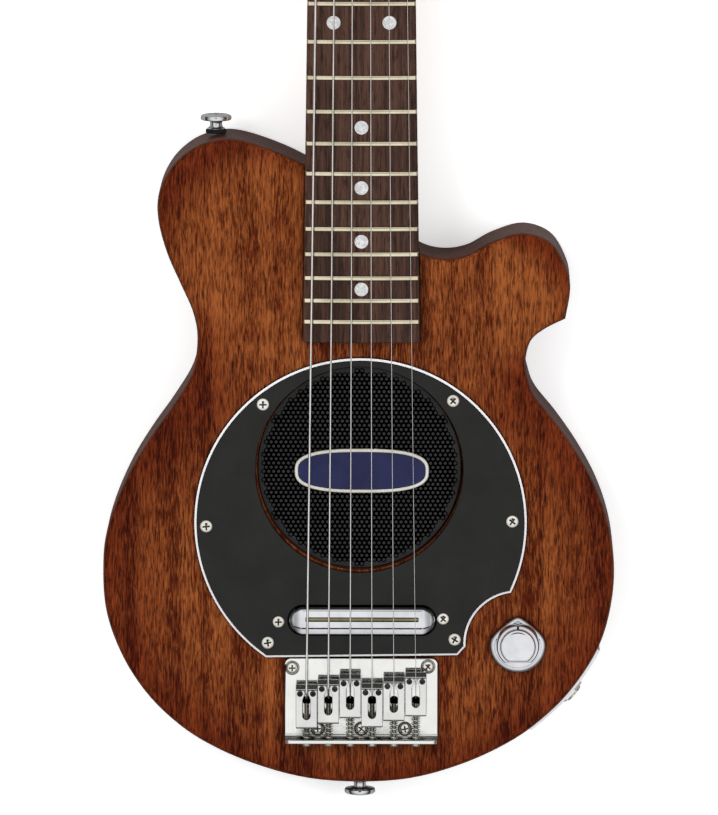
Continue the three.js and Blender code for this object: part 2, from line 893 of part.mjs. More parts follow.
// Neck plate let into the back, with its four wood screws
function neckPlate() {
  const plate = prism(roundedRectangle(plateWidth, plateLength, plateCorner), plateThickness)
    .translate(0, plateStart + plateLength / 2, seatGap);
  return join(plate, ...plateScrews(plateScrewRadius, seatGap + plateThickness / 2, plateScrewTop()));
}

function plateScrewTop() {
  return pocketFloor + plateScrewBite;
}

// Tuner posts: three to a side, the outer strings on the posts nearest the nut
function postPlaces() {
  return stringGauges.map((gauge, index) => {
    const bass = index < stringCount / 2;
    const row = bass ? index : stringCount - 1 - index;
    const side = bass ? -1 : 1;
    return { x: side * postSpread, y: nutBack + firstPost + row * postPitch, side };
  });
}

function windingRadius(index) {
  return postRadius + seatGap + stringGauges[index] / 2;
}

// Where the string, coming from the nut, meets its winding, as an angle round the post
function windingStart(index) {
  const { x, y, side } = postPlaces()[index];
  const reach = new THREE.Vector2(x - stringAcross(index, nutPitch), y - nutBack);
  return reach.angle() + side * Math.acos(-windingRadius(index) / reach.length());
}

function tunerHousing({ x, y, side }) {
  const middleX = x + side * housingOutset;
  const middleY = y - housingShift;
  const low = headBack - seatGap - housingDepth;
  const shell = new THREE.ExtrudeGeometry(
    roundedRectangle(housingWidth - 2 * housingEdge, housingLength - 2 * housingEdge, housingCorner),
    {
      depth: housingDepth - 2 * housingEdge,
      bevelThickness: housingEdge,
      bevelSize: housingEdge,
      bevelSegments: 1,
      curveSegments: 1,
    },
  ).translate(middleX, middleY, low + housingEdge);
  const sleeveTop = headFace + seatGap + hexHeight;
  const sleeve = rod(sleeveRadius, sleeveTop - headBack + overrun, wormSides)
    .translate(x, y, headBack - overrun);
  const hex = rod(hexRadius, hexHeight, hexSides).translate(x, y, headFace + seatGap);
  const postBore = rod(postRadius + runningGap, sleeveTop - low, shaftSides)
    .translate(x, y, low + housingFloor);
  const wormBore = rod(wormRadius + runningGap, wormDepth + seatGap + overrun, wormSides)
    .rotateY((-side * Math.PI) / 2)
    .translate(middleX + side * (housingWidth / 2 + overrun), y - wormOffset, wormHeight());
  return cut(join(shell, sleeve, hex), postBore, wormBore);
}

function wormHeight() {
  return headBack - seatGap - housingDepth / 2;
}

function tunerPost({ x, y }) {
  const low = headBack - seatGap - housingDepth + housingFloor + seatGap;
  const height = headFace + postRise - low;
  const post = turned([
    [0, 0], [postRadius, 0], [postRadius, height - postEdge], [postRadius - postEdge, height], [0, height],
  ], shaftSides);
  const hole = rod(postHoleRadius, 4 * postRadius, smallSides)
    .rotateX(Math.PI / 2)
    .translate(0, 2 * postRadius, headFace + stringOverHead + 3 * postHoleRadius - low);
  return cut(post, hole).translate(x, y, low);
}

// Tuner button: worm shaft, collar and an oval finger grip, turned in one and then flattened
function tunerButton({ x, y, side }) {
  const inner = Math.abs(x) + housingOutset + housingWidth / 2 - wormDepth;
  const start = buttonStart - inner;
  const gripStart = start + buttonCollarLength;
  const end = start + buttonLength;
  const shoulder = (end - gripStart) / 4;
  const profile = [
    [0, 0], [wormRadius, 0], [wormRadius, start], [buttonCollar, start], [buttonCollar, gripStart],
    [buttonWidth / 2, gripStart + shoulder], [buttonWidth / 2, end - shoulder], [0, end],
  ];
  const button = turned(profile, wormSides);
  const corners = button.attributes.position;
  for (let i = 0; i < corners.count; i += 1) {
    const flatness = corners.getZ(i) > gripStart ? buttonThickness / buttonWidth : 1;
    corners.setX(i, corners.getX(i) * flatness);
  }
  return button.rotateY((side * Math.PI) / 2).translate(side * inner, y - wormOffset, wormHeight());
}

// String: from the ferrule block up through the body, over its saddle and the nut, and round its post
function stringStations(index) {
  const front = saddleFronts[index];
  const x = stringAcross(index, saddlePitch);
  const bendY = front - saddleRidge - saddleTravelSpare;
  const nutX = stringAcross(index, nutPitch);
  const { x: postX, y: postY, side } = postPlaces()[index];
  const radius = windingRadius(index);
  const start = windingStart(index);
  const pitch = stringGauges[index] + windingSpace;
  const stations = [
    new THREE.Vector3(x, stringHoleLine, stringEnd),
    new THREE.Vector3(x, stringHoleLine, bridgeTop + stringDropHeight),
    new THREE.Vector3(x, bendY, stringHeight(index, bendY)),
    new THREE.Vector3(nutX, scaleLength, stringHeightAtNut(index)),
    new THREE.Vector3(nutX, nutBack, stringHeightAtNut(index)),
  ];
  const winding = [];
  for (let step = 0; step <= windingTurns * windingSteps; step += 1) {
    const angle = start - (side * 2 * Math.PI * step) / windingSteps;
    winding.push(new THREE.Vector3(
      postX + radius * Math.cos(angle),
      postY + radius * Math.sin(angle),
      headFace + stringOverHead - (pitch * step) / windingSteps,
    ));
  }
  printLeastGap(`string_${index + 1} winding`, winding, stringGauges[index], windingSteps);
  return [...stations, ...winding];
}

// Pickguard: a large disc scalloped round the knob, with a bevelled edge
function pickguard() {
  const outline = guardOutline();
  const blank = new THREE.ExtrudeGeometry(outline, {
    depth: glueLine,
    bevelThickness: guardThickness - glueLine,
    bevelSize: guardBevel,
    bevelOffset: -guardBevel,
    bevelSegments: 1,
    curveSegments: guardSteps,
  });
  const belowSeat = block(bodyWidth, bodyLength, guardThickness).translate(0, guardY, -guardThickness);
  const slot = roundedRectangle(
    pickupLength + 2 * pickupClearance,
    pickupWidth + 2 * pickupClearance,
    pickupWidth / 2 + pickupClearance,
  );
  return cut(
    blank,
    belowSeat,
    rod(guardHoleRadius, guardThickness + 2 * overrun, fineSides)
      .translate(speakerX, speakerY, -overrun),
    prism(slot, guardThickness + 2 * overrun, 2 * cornerSteps).translate(pickupX, pickupY, -overrun),
  ).translate(0, 0, guardSeat);
}

function guardOutline() {
  const meet = circlesMeet();
  const leftAngle = Math.PI + Math.asin((guardY - guardBottomBass) / guardRadius);
  const meetAngle = Math.atan2(meet.y - guardY, meet.x - guardX);
  const scallopStart = Math.atan2(meet.y - knobY, meet.x - knobX);
  const scallopStop = Math.PI + Math.asin((knobY - scallopEnd) / scallopRadius);
  const points = [
    ...arcPoints(guardX, guardY, guardRadius, leftAngle, meetAngle, guardSteps),
    ...arcPoints(knobX, knobY, scallopRadius, scallopStart, scallopStop, scallopSteps).slice(1),
  ];
  const corner = points[points.length - 1];
  points.push([corner[0] - guardChamferAcross, guardBottomTreble]);
  return polygon(points);
}

function arcPoints(x, y, radius, from, to, steps) {
  return Array.from({ length: steps + 1 }, (_, i) => {
    const angle = from + ((to - from) * i) / steps;
    return [x + radius * Math.cos(angle), y + radius * Math.sin(angle)];
  });
}

// The upper crossing of the pickguard's circle with the scallop round the knob
function circlesMeet() {
  const centre = new THREE.Vector2(guardX, guardY);
  const towards = new THREE.Vector2(knobX, knobY).sub(centre);
  const apart = towards.length();
  towards.normalize();
  const reach = (apart ** 2 + guardRadius ** 2 - scallopRadius ** 2) / (2 * apart);
  const aside = Math.sqrt(guardRadius ** 2 - reach ** 2);
  const left = new THREE.Vector2(-towards.y, towards.x);
  return centre.addScaledVector(towards, reach).addScaledVector(left, aside);
}

// Speaker: grille, basket, cone and magnet stacked in the body's round seat
function speakerGrille() {
  const disc = rod(speakerSeatRadius - seatGap, grilleThickness, fineSides);
  const holes = [];
  for (let row = -grilleRings; row <= grilleRings; row += 1) {
    const count = 2 * grilleRings + 1 - Math.abs(row);
    for (let place = 0; place < count; place += 1) {
      const x = (place - (count - 1) / 2) * grillePitch;
      const y = (row * grillePitch * Math.sqrt(3)) / 2;
      const hole = rod(grilleHoleRadius, grilleThickness + 2 * overrun, hexSides);
      holes.push(hole.translate(x, y, -overrun));
    }
  }
  return cut(disc, ...holes).translate(speakerX, speakerY, flangeTop + seatGap);
}

function speakerBasket() {
  const outer = speakerSeatRadius - seatGap;
  const low = speakerSeat + seatGap;
  const rim = surroundOuter + seatGap;
  const inner = surroundInner + surroundSeat;
  const frame = turned([
    [outer, low], [outer, flangeTop], [rim, flangeTop], [rim, surroundFloor], [inner, surroundFloor],
    [basketThroat - basketSkin, basketBack + basketSkin],
    [coneThroat + 2 * coilGap, basketBack + basketSkin], [coneThroat + 2 * coilGap, basketBack],
    [basketThroat, basketBack], [inner + basketSkin, low], [outer, low],
  ], hiddenSides);
  const windowLow = basketBack + 3 * basketSkin;
  const window = block(basketWindow, 2 * outer, surroundFloor - 2 * basketSkin - windowLow);
  const side = window.clone().rotateZ(Math.PI / 2);
  return cut(frame, window.translate(0, 0, windowLow), side.translate(0, 0, windowLow))
    .translate(speakerX, speakerY, 0);
}

function speakerCone() {
  const rim = surroundFloor + seatGap;
  const neckHeight = rim - coneDepth;
  const inner = coneThroat - coneSkin;
  const roll = (surroundOuter - surroundInner) / 2;
  const rollMiddle = surroundInner + roll / 2;
  return turned([
    [0, neckHeight + capRise], [inner / 2, neckHeight + capRise - coneSkin],
    [inner, neckHeight + coneSkin], [surroundInner, rim], [rollMiddle, rim + 2 * coneSkin],
    [surroundInner + roll, rim + coneSkin], [surroundOuter, rim + coneSkin], [surroundOuter, rim],
    [surroundInner + roll, rim], [rollMiddle, rim + coneSkin], [surroundInner, rim - coneSkin],
    [coneThroat, neckHeight - coneSkin], [coneThroat, neckHeight - coilLength],
    [inner, neckHeight - coilLength], [inner, neckHeight - coneSkin],
    [inner / 2, neckHeight + capRise - 3 * coneSkin], [0, neckHeight + capRise - 2 * coneSkin],
  ], hiddenSides).translate(speakerX, speakerY, 0);
}

function speakerMagnet() {
  const low = magnetLow;
  const top = low + magnetHeight;
  const grooveOuter = coneThroat + coilGap;
  const grooveInner = coneThroat - coneSkin - coilGap;
  return turned([
    [0, low], [magnetRadius, low], [magnetRadius, top], [grooveOuter, top],
    [grooveOuter, low + magnetBack], [grooveInner, low + magnetBack],
    [grooveInner, top + poleRise], [0, top + poleRise],
  ], hiddenSides).translate(speakerX, speakerY, 0);
}

// Pickup: a chrome cover with domed ends, round two steel blades on a coil block; the cover's flat
// crown, its slot and the blades all stand a little to the headstock's side of its middle
function pickupCover() {
  const low = faceTop + seatGap;
  const half = pickupWidth / 2;
  const flat = pickupFlatWidth / 2;
  const shoulder = pickupRise - pickupShoulder;
  const section = polygon([
    [-half, 0], [half, 0], [half, shoulder], [pickupCrownShift + flat, pickupRise],
    [pickupCrownShift - flat, pickupRise], [-half, shoulder],
  ]);
  const crown = pickupDomeShares.map(([across, up]) => [across * half, up * pickupEndRise]);
  const dome = turned([[0, 0], ...crown], roundSides);
  const end = pickupLength / 2 - half;
  const hollow = acrossPrism(polygon([
    [-half + pickupSkin, -overrun], [half - pickupSkin, -overrun],
    [half - pickupSkin, shoulder - pickupSkin],
    [pickupCrownShift + flat - pickupSkin / 2, pickupRise - pickupSkin],
    [pickupCrownShift - flat + pickupSkin / 2, pickupRise - pickupSkin],
    [-half + pickupSkin, shoulder - pickupSkin],
  ]), pickupSlotLength + 2 * pickupSkin);
  return cut(
    join(
      acrossPrism(section, pickupFlatLength),
      dome.clone().translate(end, 0, 0),
      dome.translate(-end, 0, 0),
    ),
    hollow,
    block(pickupSlotLength, pickupSlotWidth, pickupRise + overrun).translate(0, pickupCrownShift, 0),
  ).translate(pickupX, pickupY, low);
}

function pickupCore() {
  const plate = prism(roundedRectangle(earLength, earWidth, earWidth / 2), earThickness);
  const bobbinWidth = pickupFlatWidth - 2 * pickupSkin;
  const bobbinHeight = earThickness + pickupRise - pickupSkin - bobbinGap;
  const bobbin = block(pickupSlotLength, bobbinWidth, bobbinHeight).translate(0, pickupCrownShift, 0);
  const coil = block(pickupSlotLength, earWidth - 2 * pickupSkin, coilBlockDepth + overrun)
    .translate(0, 0, -coilBlockDepth);
  const blades = [-bladeSpread, bladeSpread].map((y) => block(
    pickupSlotLength - 2 * seatGap, bladeThickness, pickupRise + earThickness,
  ).translate(0, pickupCrownShift + y, 0));
  return join(plate, bobbin, coil, ...blades).translate(pickupX, pickupY, faceTop - earThickness);
}

// Bridge plate: a flat base turned up at the rear into a lip, with the six intonation screws
function bridgePlate() {
  const length = bridgeFront + bridgeBack;
  const base = prism(roundedRectangle(bridgeWidth, length, bridgeCorner), bridgeThickness)
    .translate(0, bridgeFront - length / 2, bridgeSeat);
  const lip = prism(roundedRectangle(bridgeWidth, 2 * lipHeight, bridgeCorner), lipThickness)
    .rotateX(Math.PI / 2)
    .translate(0, lipFace, bridgeSeat);
  const corner = new THREE.Shape();
  corner.moveTo(lipFace - lipThickness / 2, bridgeTop - bridgeThickness / 2);
  corner.lineTo(lipFace + lipFillet, bridgeTop - bridgeThickness / 2);
  corner.lineTo(lipFace + lipFillet, bridgeTop);
  corner.quadraticCurveTo(lipFace, bridgeTop, lipFace, bridgeTop + lipFillet);
  corner.lineTo(lipFace - lipThickness / 2, bridgeTop + lipFillet);
  const fillet = acrossPrism(corner, bridgeWidth - 2 * bridgeCorner);
  const below = block(bridgeWidth + overrun, 2 * bridgeBack, lipHeight + overrun)
    .translate(0, lipFace, bridgeSeat - lipHeight - overrun);
  const tail = block(bridgeWidth + overrun, bridgeCorner, lipHeight)
    .translate(0, -bridgeBack - bridgeCorner / 2 - overrun, bridgeSeat);
  const holes = stringHoles(stringHoleRadius, bridgeSeat, bridgeTop);
  const plate = cut(join(base, cut(lip, below), fillet), ...holes, tail);
  return join(plate, ...stringGauges.map((_, index) => intonationScrew(index)));
}

function intonationScrew(index) {
  const x = stringAcross(index, saddlePitch);
  const length = intonationTip + bridgeBack;
  const shank = rod(intonationRadius, length, smallSides);
  const head = turned([
    [0, -intonationHeadLength], [intonationHeadRadius * intonationCrownShare, -intonationHeadLength],
    [intonationHeadRadius, -intonationHeadLength / 2], [intonationHeadRadius, 0], [0, 0],
  ], smallSides);
  return join(shank, head).rotateX(-Math.PI / 2).translate(x, -bridgeBack, screwHeight);
}

// Saddle: bent sheet with a rounded front ridge, a keyhole slot and two height screws
function saddle(index) {
  const x = stringAcross(index, saddlePitch);
  const front = saddleFronts[index];
  const ridgeTop = stringHeightAtSaddle(index) - stringGauges[index] / 2 - seatGap;
  const flat = ridgeTop - saddleRidgeRise;
  const foot = bridgeTop + saddleFootGap;
  const rear = front - saddleLength;
  const bend = saddleBend;
  const sheet = polygon([
    [front, foot], [front, ridgeTop - bend], [front - bend / 3, ridgeTop - bend / 3],
    [front - bend, ridgeTop],
    [front - saddleRidge + bend / 3, ridgeTop], [front - saddleRidge - bend / 3, flat],
    [rear + bend, flat], [rear + bend / 3, flat - bend / 3], [rear, flat - bend], [rear, foot],
    [rear + saddleSheet, foot], [rear + saddleSheet, flat - saddleSheet - bend / 2],
    [rear + saddleSheet + bend / 2, flat - saddleSheet],
    [front - saddleSheet - bend / 2, flat - saddleSheet],
    [front - saddleSheet, flat - saddleSheet - bend / 2], [front - saddleSheet, foot],
  ]);
  const keyhole = prism(keyholeShape(), saddleRidgeRise + 4 * saddleSheet)
    .translate(0, front - saddleRidge, flat - 2 * saddleSheet);
  const bore = rod(intonationRadius + runningGap, 4 * saddleSheet, smallSides)
    .rotateX(-Math.PI / 2)
    .translate(0, rear - saddleSheet, screwHeight);
  const folded = cut(acrossPrism(sheet, saddlePitch - seatGap), keyhole, bore);
  const screws = [-heightScrewSpread, heightScrewSpread].map((across) => rod(
    heightScrewRadius, flat + heightScrewRise - bridgeTop - seatGap, hexSides,
  ).translate(across, front - heightScrewSetback, bridgeTop + seatGap));
  return join(folded, ...screws).translate(x, 0, 0);
}

// The opening that the string rises through: a point behind the ridge, widening into a long slot
function keyholeShape() {
  const half = slotWidth / 2;
  const tip = keyholeTip / 2;
  const end = saddleRidge - slotEnd + half;
  const shape = new THREE.Shape();
  shape.moveTo(tip, 0);
  shape.lineTo(-tip, 0);
  shape.quadraticCurveTo(-half, -keyholeLength / 2, -half, -keyholeLength);
  shape.absarc(0, end, half, Math.PI, 2 * Math.PI);
  shape.lineTo(half, -keyholeLength);
  shape.quadraticCurveTo(half, -keyholeLength / 2, tip, 0);
  return shape;
}

// Spring: an unbroken helix between the lip and the saddle's rear
function intonationSpring(index) {
  const rear = saddleFronts[index] - saddleLength;
  const from = lipFace + seatGap + springWire / 2;
  const to = rear - seatGap - springWire / 2;
  const turns = Math.max(1, Math.floor((to - from) / springPitch));
  const steps = turns * springSteps;
  const stations = Array.from({ length: steps + 1 }, (_, i) => {
    const angle = (2 * Math.PI * i) / springSteps;
    return new THREE.Vector3(
      stringAcross(index, saddlePitch) + springRadius * Math.cos(angle),
      from + ((to - from) * i) / steps,
      screwHeight + springRadius * Math.sin(angle),
    );
  });
  printLeastGap(`intonation_spring_${index + 1}`, stations, springWire, springSteps);
  return tube(stations, springWire / 2, springSides);
}

// Ferrule block: a metal bar let into the back, which the strings are threaded through
function ferruleBlock() {
  const bar = prism(roundedRectangle(ferruleLength, ferruleWidth, ferruleCorner), ferruleThickness)
    .translate(0, stringHoleLine, seatGap);
  return cut(bar, ...stringHoles(stringHoleRadius, seatGap, seatGap + ferruleThickness));
}

// Volume pot under the face, with its bushing and nut, and the knob on its shaft
function volumePot() {
  const can = rod(potRadius, potHeight, hiddenSides).translate(0, 0, potTop - potHeight);
  const bushing = rod(potBushing, bushingTop - potTop + overrun, shaftSides)
    .translate(0, 0, potTop - overrun);
  const hex = rod(potNutRadius, potNutHeight, hexSides).translate(0, 0, faceTop + seatGap);
  const bore = rod(shaftRadius + runningGap, faceTop, shaftSides)
    .translate(0, 0, potTop - potHeight + potFloor);
  return cut(join(can, bushing, hex), bore).translate(knobX, knobY, 0);
}

function volumeKnob() {
  const low = faceTop + 2 * seatGap;
  const shaftLow = potTop - potHeight + potFloor + seatGap;
  const cap = turned([
    [0, 0], [knobRadius, 0], [knobRadius, knobSkirt],
    [knobTopRadius + knobEdge / 2, knobSkirt + knobEdge], [knobTopRadius, knobHeight - knobEdge],
    [knobTopRadius - knobEdge, knobHeight - knobEdge / 4], [0, knobHeight],
  ], knobSides).translate(0, 0, low);
  const hollow = rod(knobHollow, knobHollowDepth + overrun, roundSides).translate(0, 0, low - overrun);
  const shaft = rod(shaftRadius, low + knobHollowDepth + overrun - shaftLow, shaftSides)
    .translate(0, 0, shaftLow);
  return join(cut(cap, hollow), shaft).translate(knobX, knobY, 0);
}

function rearCover() {
  const shape = roundedRectangle(
    cavityWidth + 2 * coverLedge, cavityLength + 2 * coverLedge, cavityCorner + coverLedge - seatGap,
  );
  return prism(shape, coverThickness).translate(cavityX, cavityY, seatGap);
}

// Amplifier board hung from the cavity's roof on four posts, with a chip and two capacitors
function ampBoard() {
  const low = faceTop - cavityRoof - seatGap - ampDrop;
  const board = block(ampWidth, ampLength, ampThickness);
  const [x, y] = [ampWidth / 2 - ampPostInset, ampLength / 2 - ampPostInset];
  const posts = [[-x, -y], [x, -y], [x, y], [-x, y]].map(
    ([across, along]) => rod(ampPostRadius, ampDrop, smallSides).translate(across, along, 0),
  );
  const chip = block(chipWidth, chipLength, chipHeight).translate(0, 0, -chipHeight + glueLine);
  const cans = [-canSpread, canSpread].map(
    (across) => rod(canRadius, canHeight, smallSides).translate(across, 0, -canHeight + glueLine),
  );
  const line = cavityY + (cavityLength - ampLength) / 2 - ampWall;
  return join(board, ...posts, chip, ...cans).translate(cavityX, line, low);
}

// Nine volt battery on its side, and the hinged door over it
function battery() {
  const shell = prism(
    roundedRectangle(batteryLength, batteryWidth, batteryCorner), batteryHeight,
  );
  const terminals = [-terminalSpread, terminalSpread].map(
    (y) => rod(terminalRadius, terminalLength + overrun, smallSides)
      .rotateY(Math.PI / 2)
      .translate(batteryLength / 2 - overrun, y, batteryHeight / 2),
  );
  const low = doorSink + doorThickness + seatGap;
  return join(shell, ...terminals).translate(batteryX - terminalLength / 2, batteryY, low);
}

function batteryDoor() {
  const { doorWidth, doorLength, pinY, pinZ } = doorSizes();
  const half = doorThickness / 2;
  const far = doorLength - half;
  const side = new THREE.Shape();
  side.moveTo(far, -half);
  side.lineTo(far, half);
  side.lineTo(0, half);
  side.absarc(0, 0, half, Math.PI / 2, 1.5 * Math.PI);
  const leaf = acrossPrism(side, doorWidth);
  const pin = rod(doorPinRadius, doorWidth + 2 * doorPinLength, shaftSides)
    .rotateY(Math.PI / 2)
    .translate(-doorWidth / 2 - doorPinLength, 0, 0);
  return join(leaf, pin).translate(batteryX, pinY, pinZ);
}

// Output jack: a plate curved with the body's edge, and the socket's threaded tube and nut
function outputJack() {
  const { middle } = jackPlace();
  const near = bodyOutline.filter((point) => point.distanceTo(middle) < jackPlateHalf);
  const offset = (distance) => near.map((point, i) => {
    const before = near[Math.max(i - 1, 0)];
    const after = near[Math.min(i + 1, near.length - 1)];
    const edge = after.clone().sub(before).normalize();
    return [point.x + edge.y * distance, point.y - edge.x * distance];
  });
  const outline = [...offset(seatGap), ...offset(seatGap + jackPlateThickness).reverse()];
  const plate = prism(polygon(outline), jackPlateHeight)
    .translate(0, 0, strapHeight - jackPlateHeight / 2);
  const face = seatGap + jackPlateThickness;
  const tubeEnd = face + jackHexHeight + jackTubeRise;
  const barrel = rod(jackTubeRadius, jackTubeReach + tubeEnd, shaftSides).translate(0, 0, -jackTubeReach);
  const hex = rod(jackHexRadius, jackHexHeight + overrun, hexSides).translate(0, 0, face - overrun);
  const bore = rod(jackBoreRadius, jackTubeReach + tubeEnd, shaftSides)
    .translate(0, 0, -jackTubeReach + jackFloor);
  return cut(join(plate, towardsJack(join(barrel, hex))), towardsJack(bore));
}

// Strap button: a felt washer, a waisted stem and a flange, with its wood screw
function strapButton() {
  const stemTop = strapFeltHeight + strapStemHeight;
  const top = stemTop + strapFlangeHeight;
  return turned([
    [0, -strapScrewLength], [strapScrewRadius, -strapScrewLength + strapScrewRadius], [strapScrewRadius, 0],
    [strapFeltRadius, 0], [strapFeltRadius, strapFeltHeight], [strapStem, strapFeltHeight],
    [strapStem, stemTop], [strapFlange, stemTop + strapDome], [strapFlange, top - strapDome],
    [strapTopFlat, top], [0, top],
  ], shaftSides);
}

add("body", body(), mahogany());
add("pickguard", pickguard(), blackPlastic());
add("speaker_grille", speakerGrille(), blackPlastic());
add("speaker_basket", speakerBasket(), darkSteel());
add("speaker_cone", speakerCone(), paper());
add("speaker_magnet", speakerMagnet(), darkSteel());
add("pickup_cover", pickupCover(), chrome());
add("pickup_core", pickupCore(), darkSteel());
add("bridge_plate", bridgePlate(), chrome());
add("neck", neck(), maple());
add("fretboard", fretboard(), rosewood());
add("nut", nut(), bone());
add("truss_rod", trussRod(), darkSteel());
add("neck_plate", neckPlate(), chrome());
add("strap_button_upper", strapButton().rotateX(-Math.PI / 2)
  .translate(upperButtonX, bodyTop.y + seatGap, strapHeight), chrome());
add("strap_button_lower", strapButton().rotateX(Math.PI / 2)
  .translate(bodyTail.x, bodyTail.y - seatGap, strapHeight), chrome());
add("volume_pot", volumePot(), darkSteel());
add("volume_knob", volumeKnob(), chrome());
add("rear_cover", rearCover(), blackPlastic());
add("amp_board", ampBoard(), circuitGreen());
add("battery", battery(), batteryShell());
add("battery_door", batteryDoor(), blackPlastic());
add("output_jack", outputJack(), chrome());
add("ferrule_block", ferruleBlock(), nickel());

stringGauges.forEach((gauge, index) => {
  const number = index + 1;
  const place = postPlaces()[index];
  add(`saddle_${number}`, saddle(index), chrome());
  add(`intonation_spring_${number}`, intonationSpring(index), nickel());
  add(`string_${number}`, tube(stringStations(index), gauge / 2, stringSides), nickel());
  add(`tuner_housing_${number}`, tunerHousing(place), chrome());
  add(`tuner_post_${number}`, tunerPost(place), chrome());
  add(`tuner_button_${number}`, tunerButton(place), chrome());
});

export default guitar;
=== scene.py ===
# Travel guitar with its own speaker: the looks of each piece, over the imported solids.
# It lies on its back: +X is the treble side, +Y the headstock, +Z out of the face.

import math

import bmesh
import bpy
from mathutils import Matrix, Vector


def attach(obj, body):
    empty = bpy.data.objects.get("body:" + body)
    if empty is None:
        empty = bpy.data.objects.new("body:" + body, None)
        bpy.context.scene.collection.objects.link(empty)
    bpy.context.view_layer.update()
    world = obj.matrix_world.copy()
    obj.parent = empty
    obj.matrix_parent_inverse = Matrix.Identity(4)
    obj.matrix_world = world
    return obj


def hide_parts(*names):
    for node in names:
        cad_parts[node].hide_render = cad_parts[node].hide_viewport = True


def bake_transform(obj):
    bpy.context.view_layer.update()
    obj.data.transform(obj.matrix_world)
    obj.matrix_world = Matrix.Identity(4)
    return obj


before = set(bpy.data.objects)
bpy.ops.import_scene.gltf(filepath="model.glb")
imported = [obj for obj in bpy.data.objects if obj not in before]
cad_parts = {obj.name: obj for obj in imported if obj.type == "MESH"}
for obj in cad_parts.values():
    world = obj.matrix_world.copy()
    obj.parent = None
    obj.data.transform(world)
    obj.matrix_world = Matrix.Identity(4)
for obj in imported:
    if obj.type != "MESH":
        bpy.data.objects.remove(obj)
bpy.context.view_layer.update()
mm = 0.001

# Camera
# The photograph looks straight down on the face with a long lens, from a little nearer the head. It
# is matched: one pixel is 0.476 mm wide at the face.
camera_reach = 4800 * mm
camera_lens = 445.1
sensor_width = 36
camera_tilt = math.radians(8.3)
camera_turn = math.radians(0.6)
camera_roll = 0.0005
aimed_at = Vector((-1.17, 128.91, 44)) * mm

towards_camera = Vector((
    math.sin(camera_turn) * math.cos(camera_tilt),
    math.sin(camera_tilt),
    math.cos(camera_turn) * math.cos(camera_tilt),
))
level_right = Vector((0, 1, 0)).cross(towards_camera).normalized()
level_up = towards_camera.cross(level_right)
right = level_right * math.cos(camera_roll) + level_up * math.sin(camera_roll)
up = level_up * math.cos(camera_roll) - level_right * math.sin(camera_roll)
camera = bpy.data.objects.new("photo_camera", bpy.data.cameras.new("photo_camera"))
camera.data.sensor_width = sensor_width
camera.data.lens = camera_lens
camera.data.clip_end = 30
camera.matrix_world = Matrix.Translation(aimed_at + towards_camera * camera_reach) @ Matrix((
    right, up, towards_camera,
)).transposed().to_4x4()
bpy.context.scene.collection.objects.link(camera)
bpy.context.scene.camera = camera
bpy.context.scene.view_settings.view_transform = "Standard"

# Studio
# A white floor under a white sky, a broad soft lamp over the bass side and a weaker one opposite.
# Polished metal sees a darker band round the horizon, and the dark camera, which give it its edges.
floor_reach = 6
floor_drop = 0.4 * mm


def paint(code):
    """The linear colour of a six-digit sRGB code."""
    values = [int(code[i:i + 2], 16) / 255 for i in (0, 2, 4)]
    linear = [v / 12.92 if v <= 0.04045 else ((v + 0.055) / 1.055) ** 2.4 for v in values]
    return (*linear, 1)


def node(tree, kind, inputs=None, **settings):
    """A shader node with its settings, its plain values and its links filled in."""
    made = tree.nodes.new("ShaderNode" + kind)
    for key, value in settings.items():
        setattr(made, key, value)
    for key, value in (inputs or {}).items():
        if isinstance(value, bpy.types.NodeSocket):
            tree.links.new(value, made.inputs[key])
        else:
            made.inputs[key].default_value = value
    return made


def mixed(tree, factor, first, second, blend="MIX"):
    """The colour between two colours."""
    made = node(tree, "Mix", {0: factor, 6: first, 7: second}, data_type="RGBA", blend_type=blend)
    return made.outputs[2]


def between(tree, value, low, high, to_low=0.0, to_high=1.0):
    """A value stretched from one range to another and held inside it."""
    made = node(tree, "MapRange", {0: value, 1: low, 2: high, 3: to_low, 4: to_high})
    return made.outputs[0]


def material(name, color, roughness, metallic=0.0, coat=0.0):
    """A new material with these values on its own Principled shader."""
    made = bpy.data.materials.new(name)
    made.use_nodes = True
    shader = made.node_tree.nodes["Principled BSDF"]
    shader.inputs["Base Color"].default_value = paint(color)
    shader.inputs["Roughness"].default_value = roughness
    shader.inputs["Metallic"].default_value = metallic
    shader.inputs["Coat Weight"].default_value = coat
    return made, made.node_tree, shader


def studio_floor():
    """White with a faint glow to the camera, a plain grey to the rest of the light."""
    made, tree, shader = material("studio_floor", "e6e6e6", 0.8)
    seen = node(tree, "LightPath").outputs["Is Camera Ray"]
    tree.links.new(mixed(tree, seen, paint("b0b0b0"), paint("ffffff")), shader.inputs["Base Color"])
    tree.links.new(mixed(tree, seen, paint("000000"), paint("a0a0a0")), shader.inputs["Emission Color"])
    shader.inputs["Emission Strength"].default_value = 1
    shader.inputs["Specular IOR Level"].default_value = 0
    return made


floor_mesh = bpy.data.meshes.new("studio_floor")
floor_mesh.from_pydata(
    [(x * floor_reach, y * floor_reach, -floor_drop) for x, y in ((-1, -1), (1, -1), (1, 1), (-1, 1))],
    [], [(0, 1, 2, 3)],
)
floor_mesh.materials.append(studio_floor())
floor = bpy.data.objects.new("studio_floor", floor_mesh)
bpy.context.scene.collection.objects.link(floor)

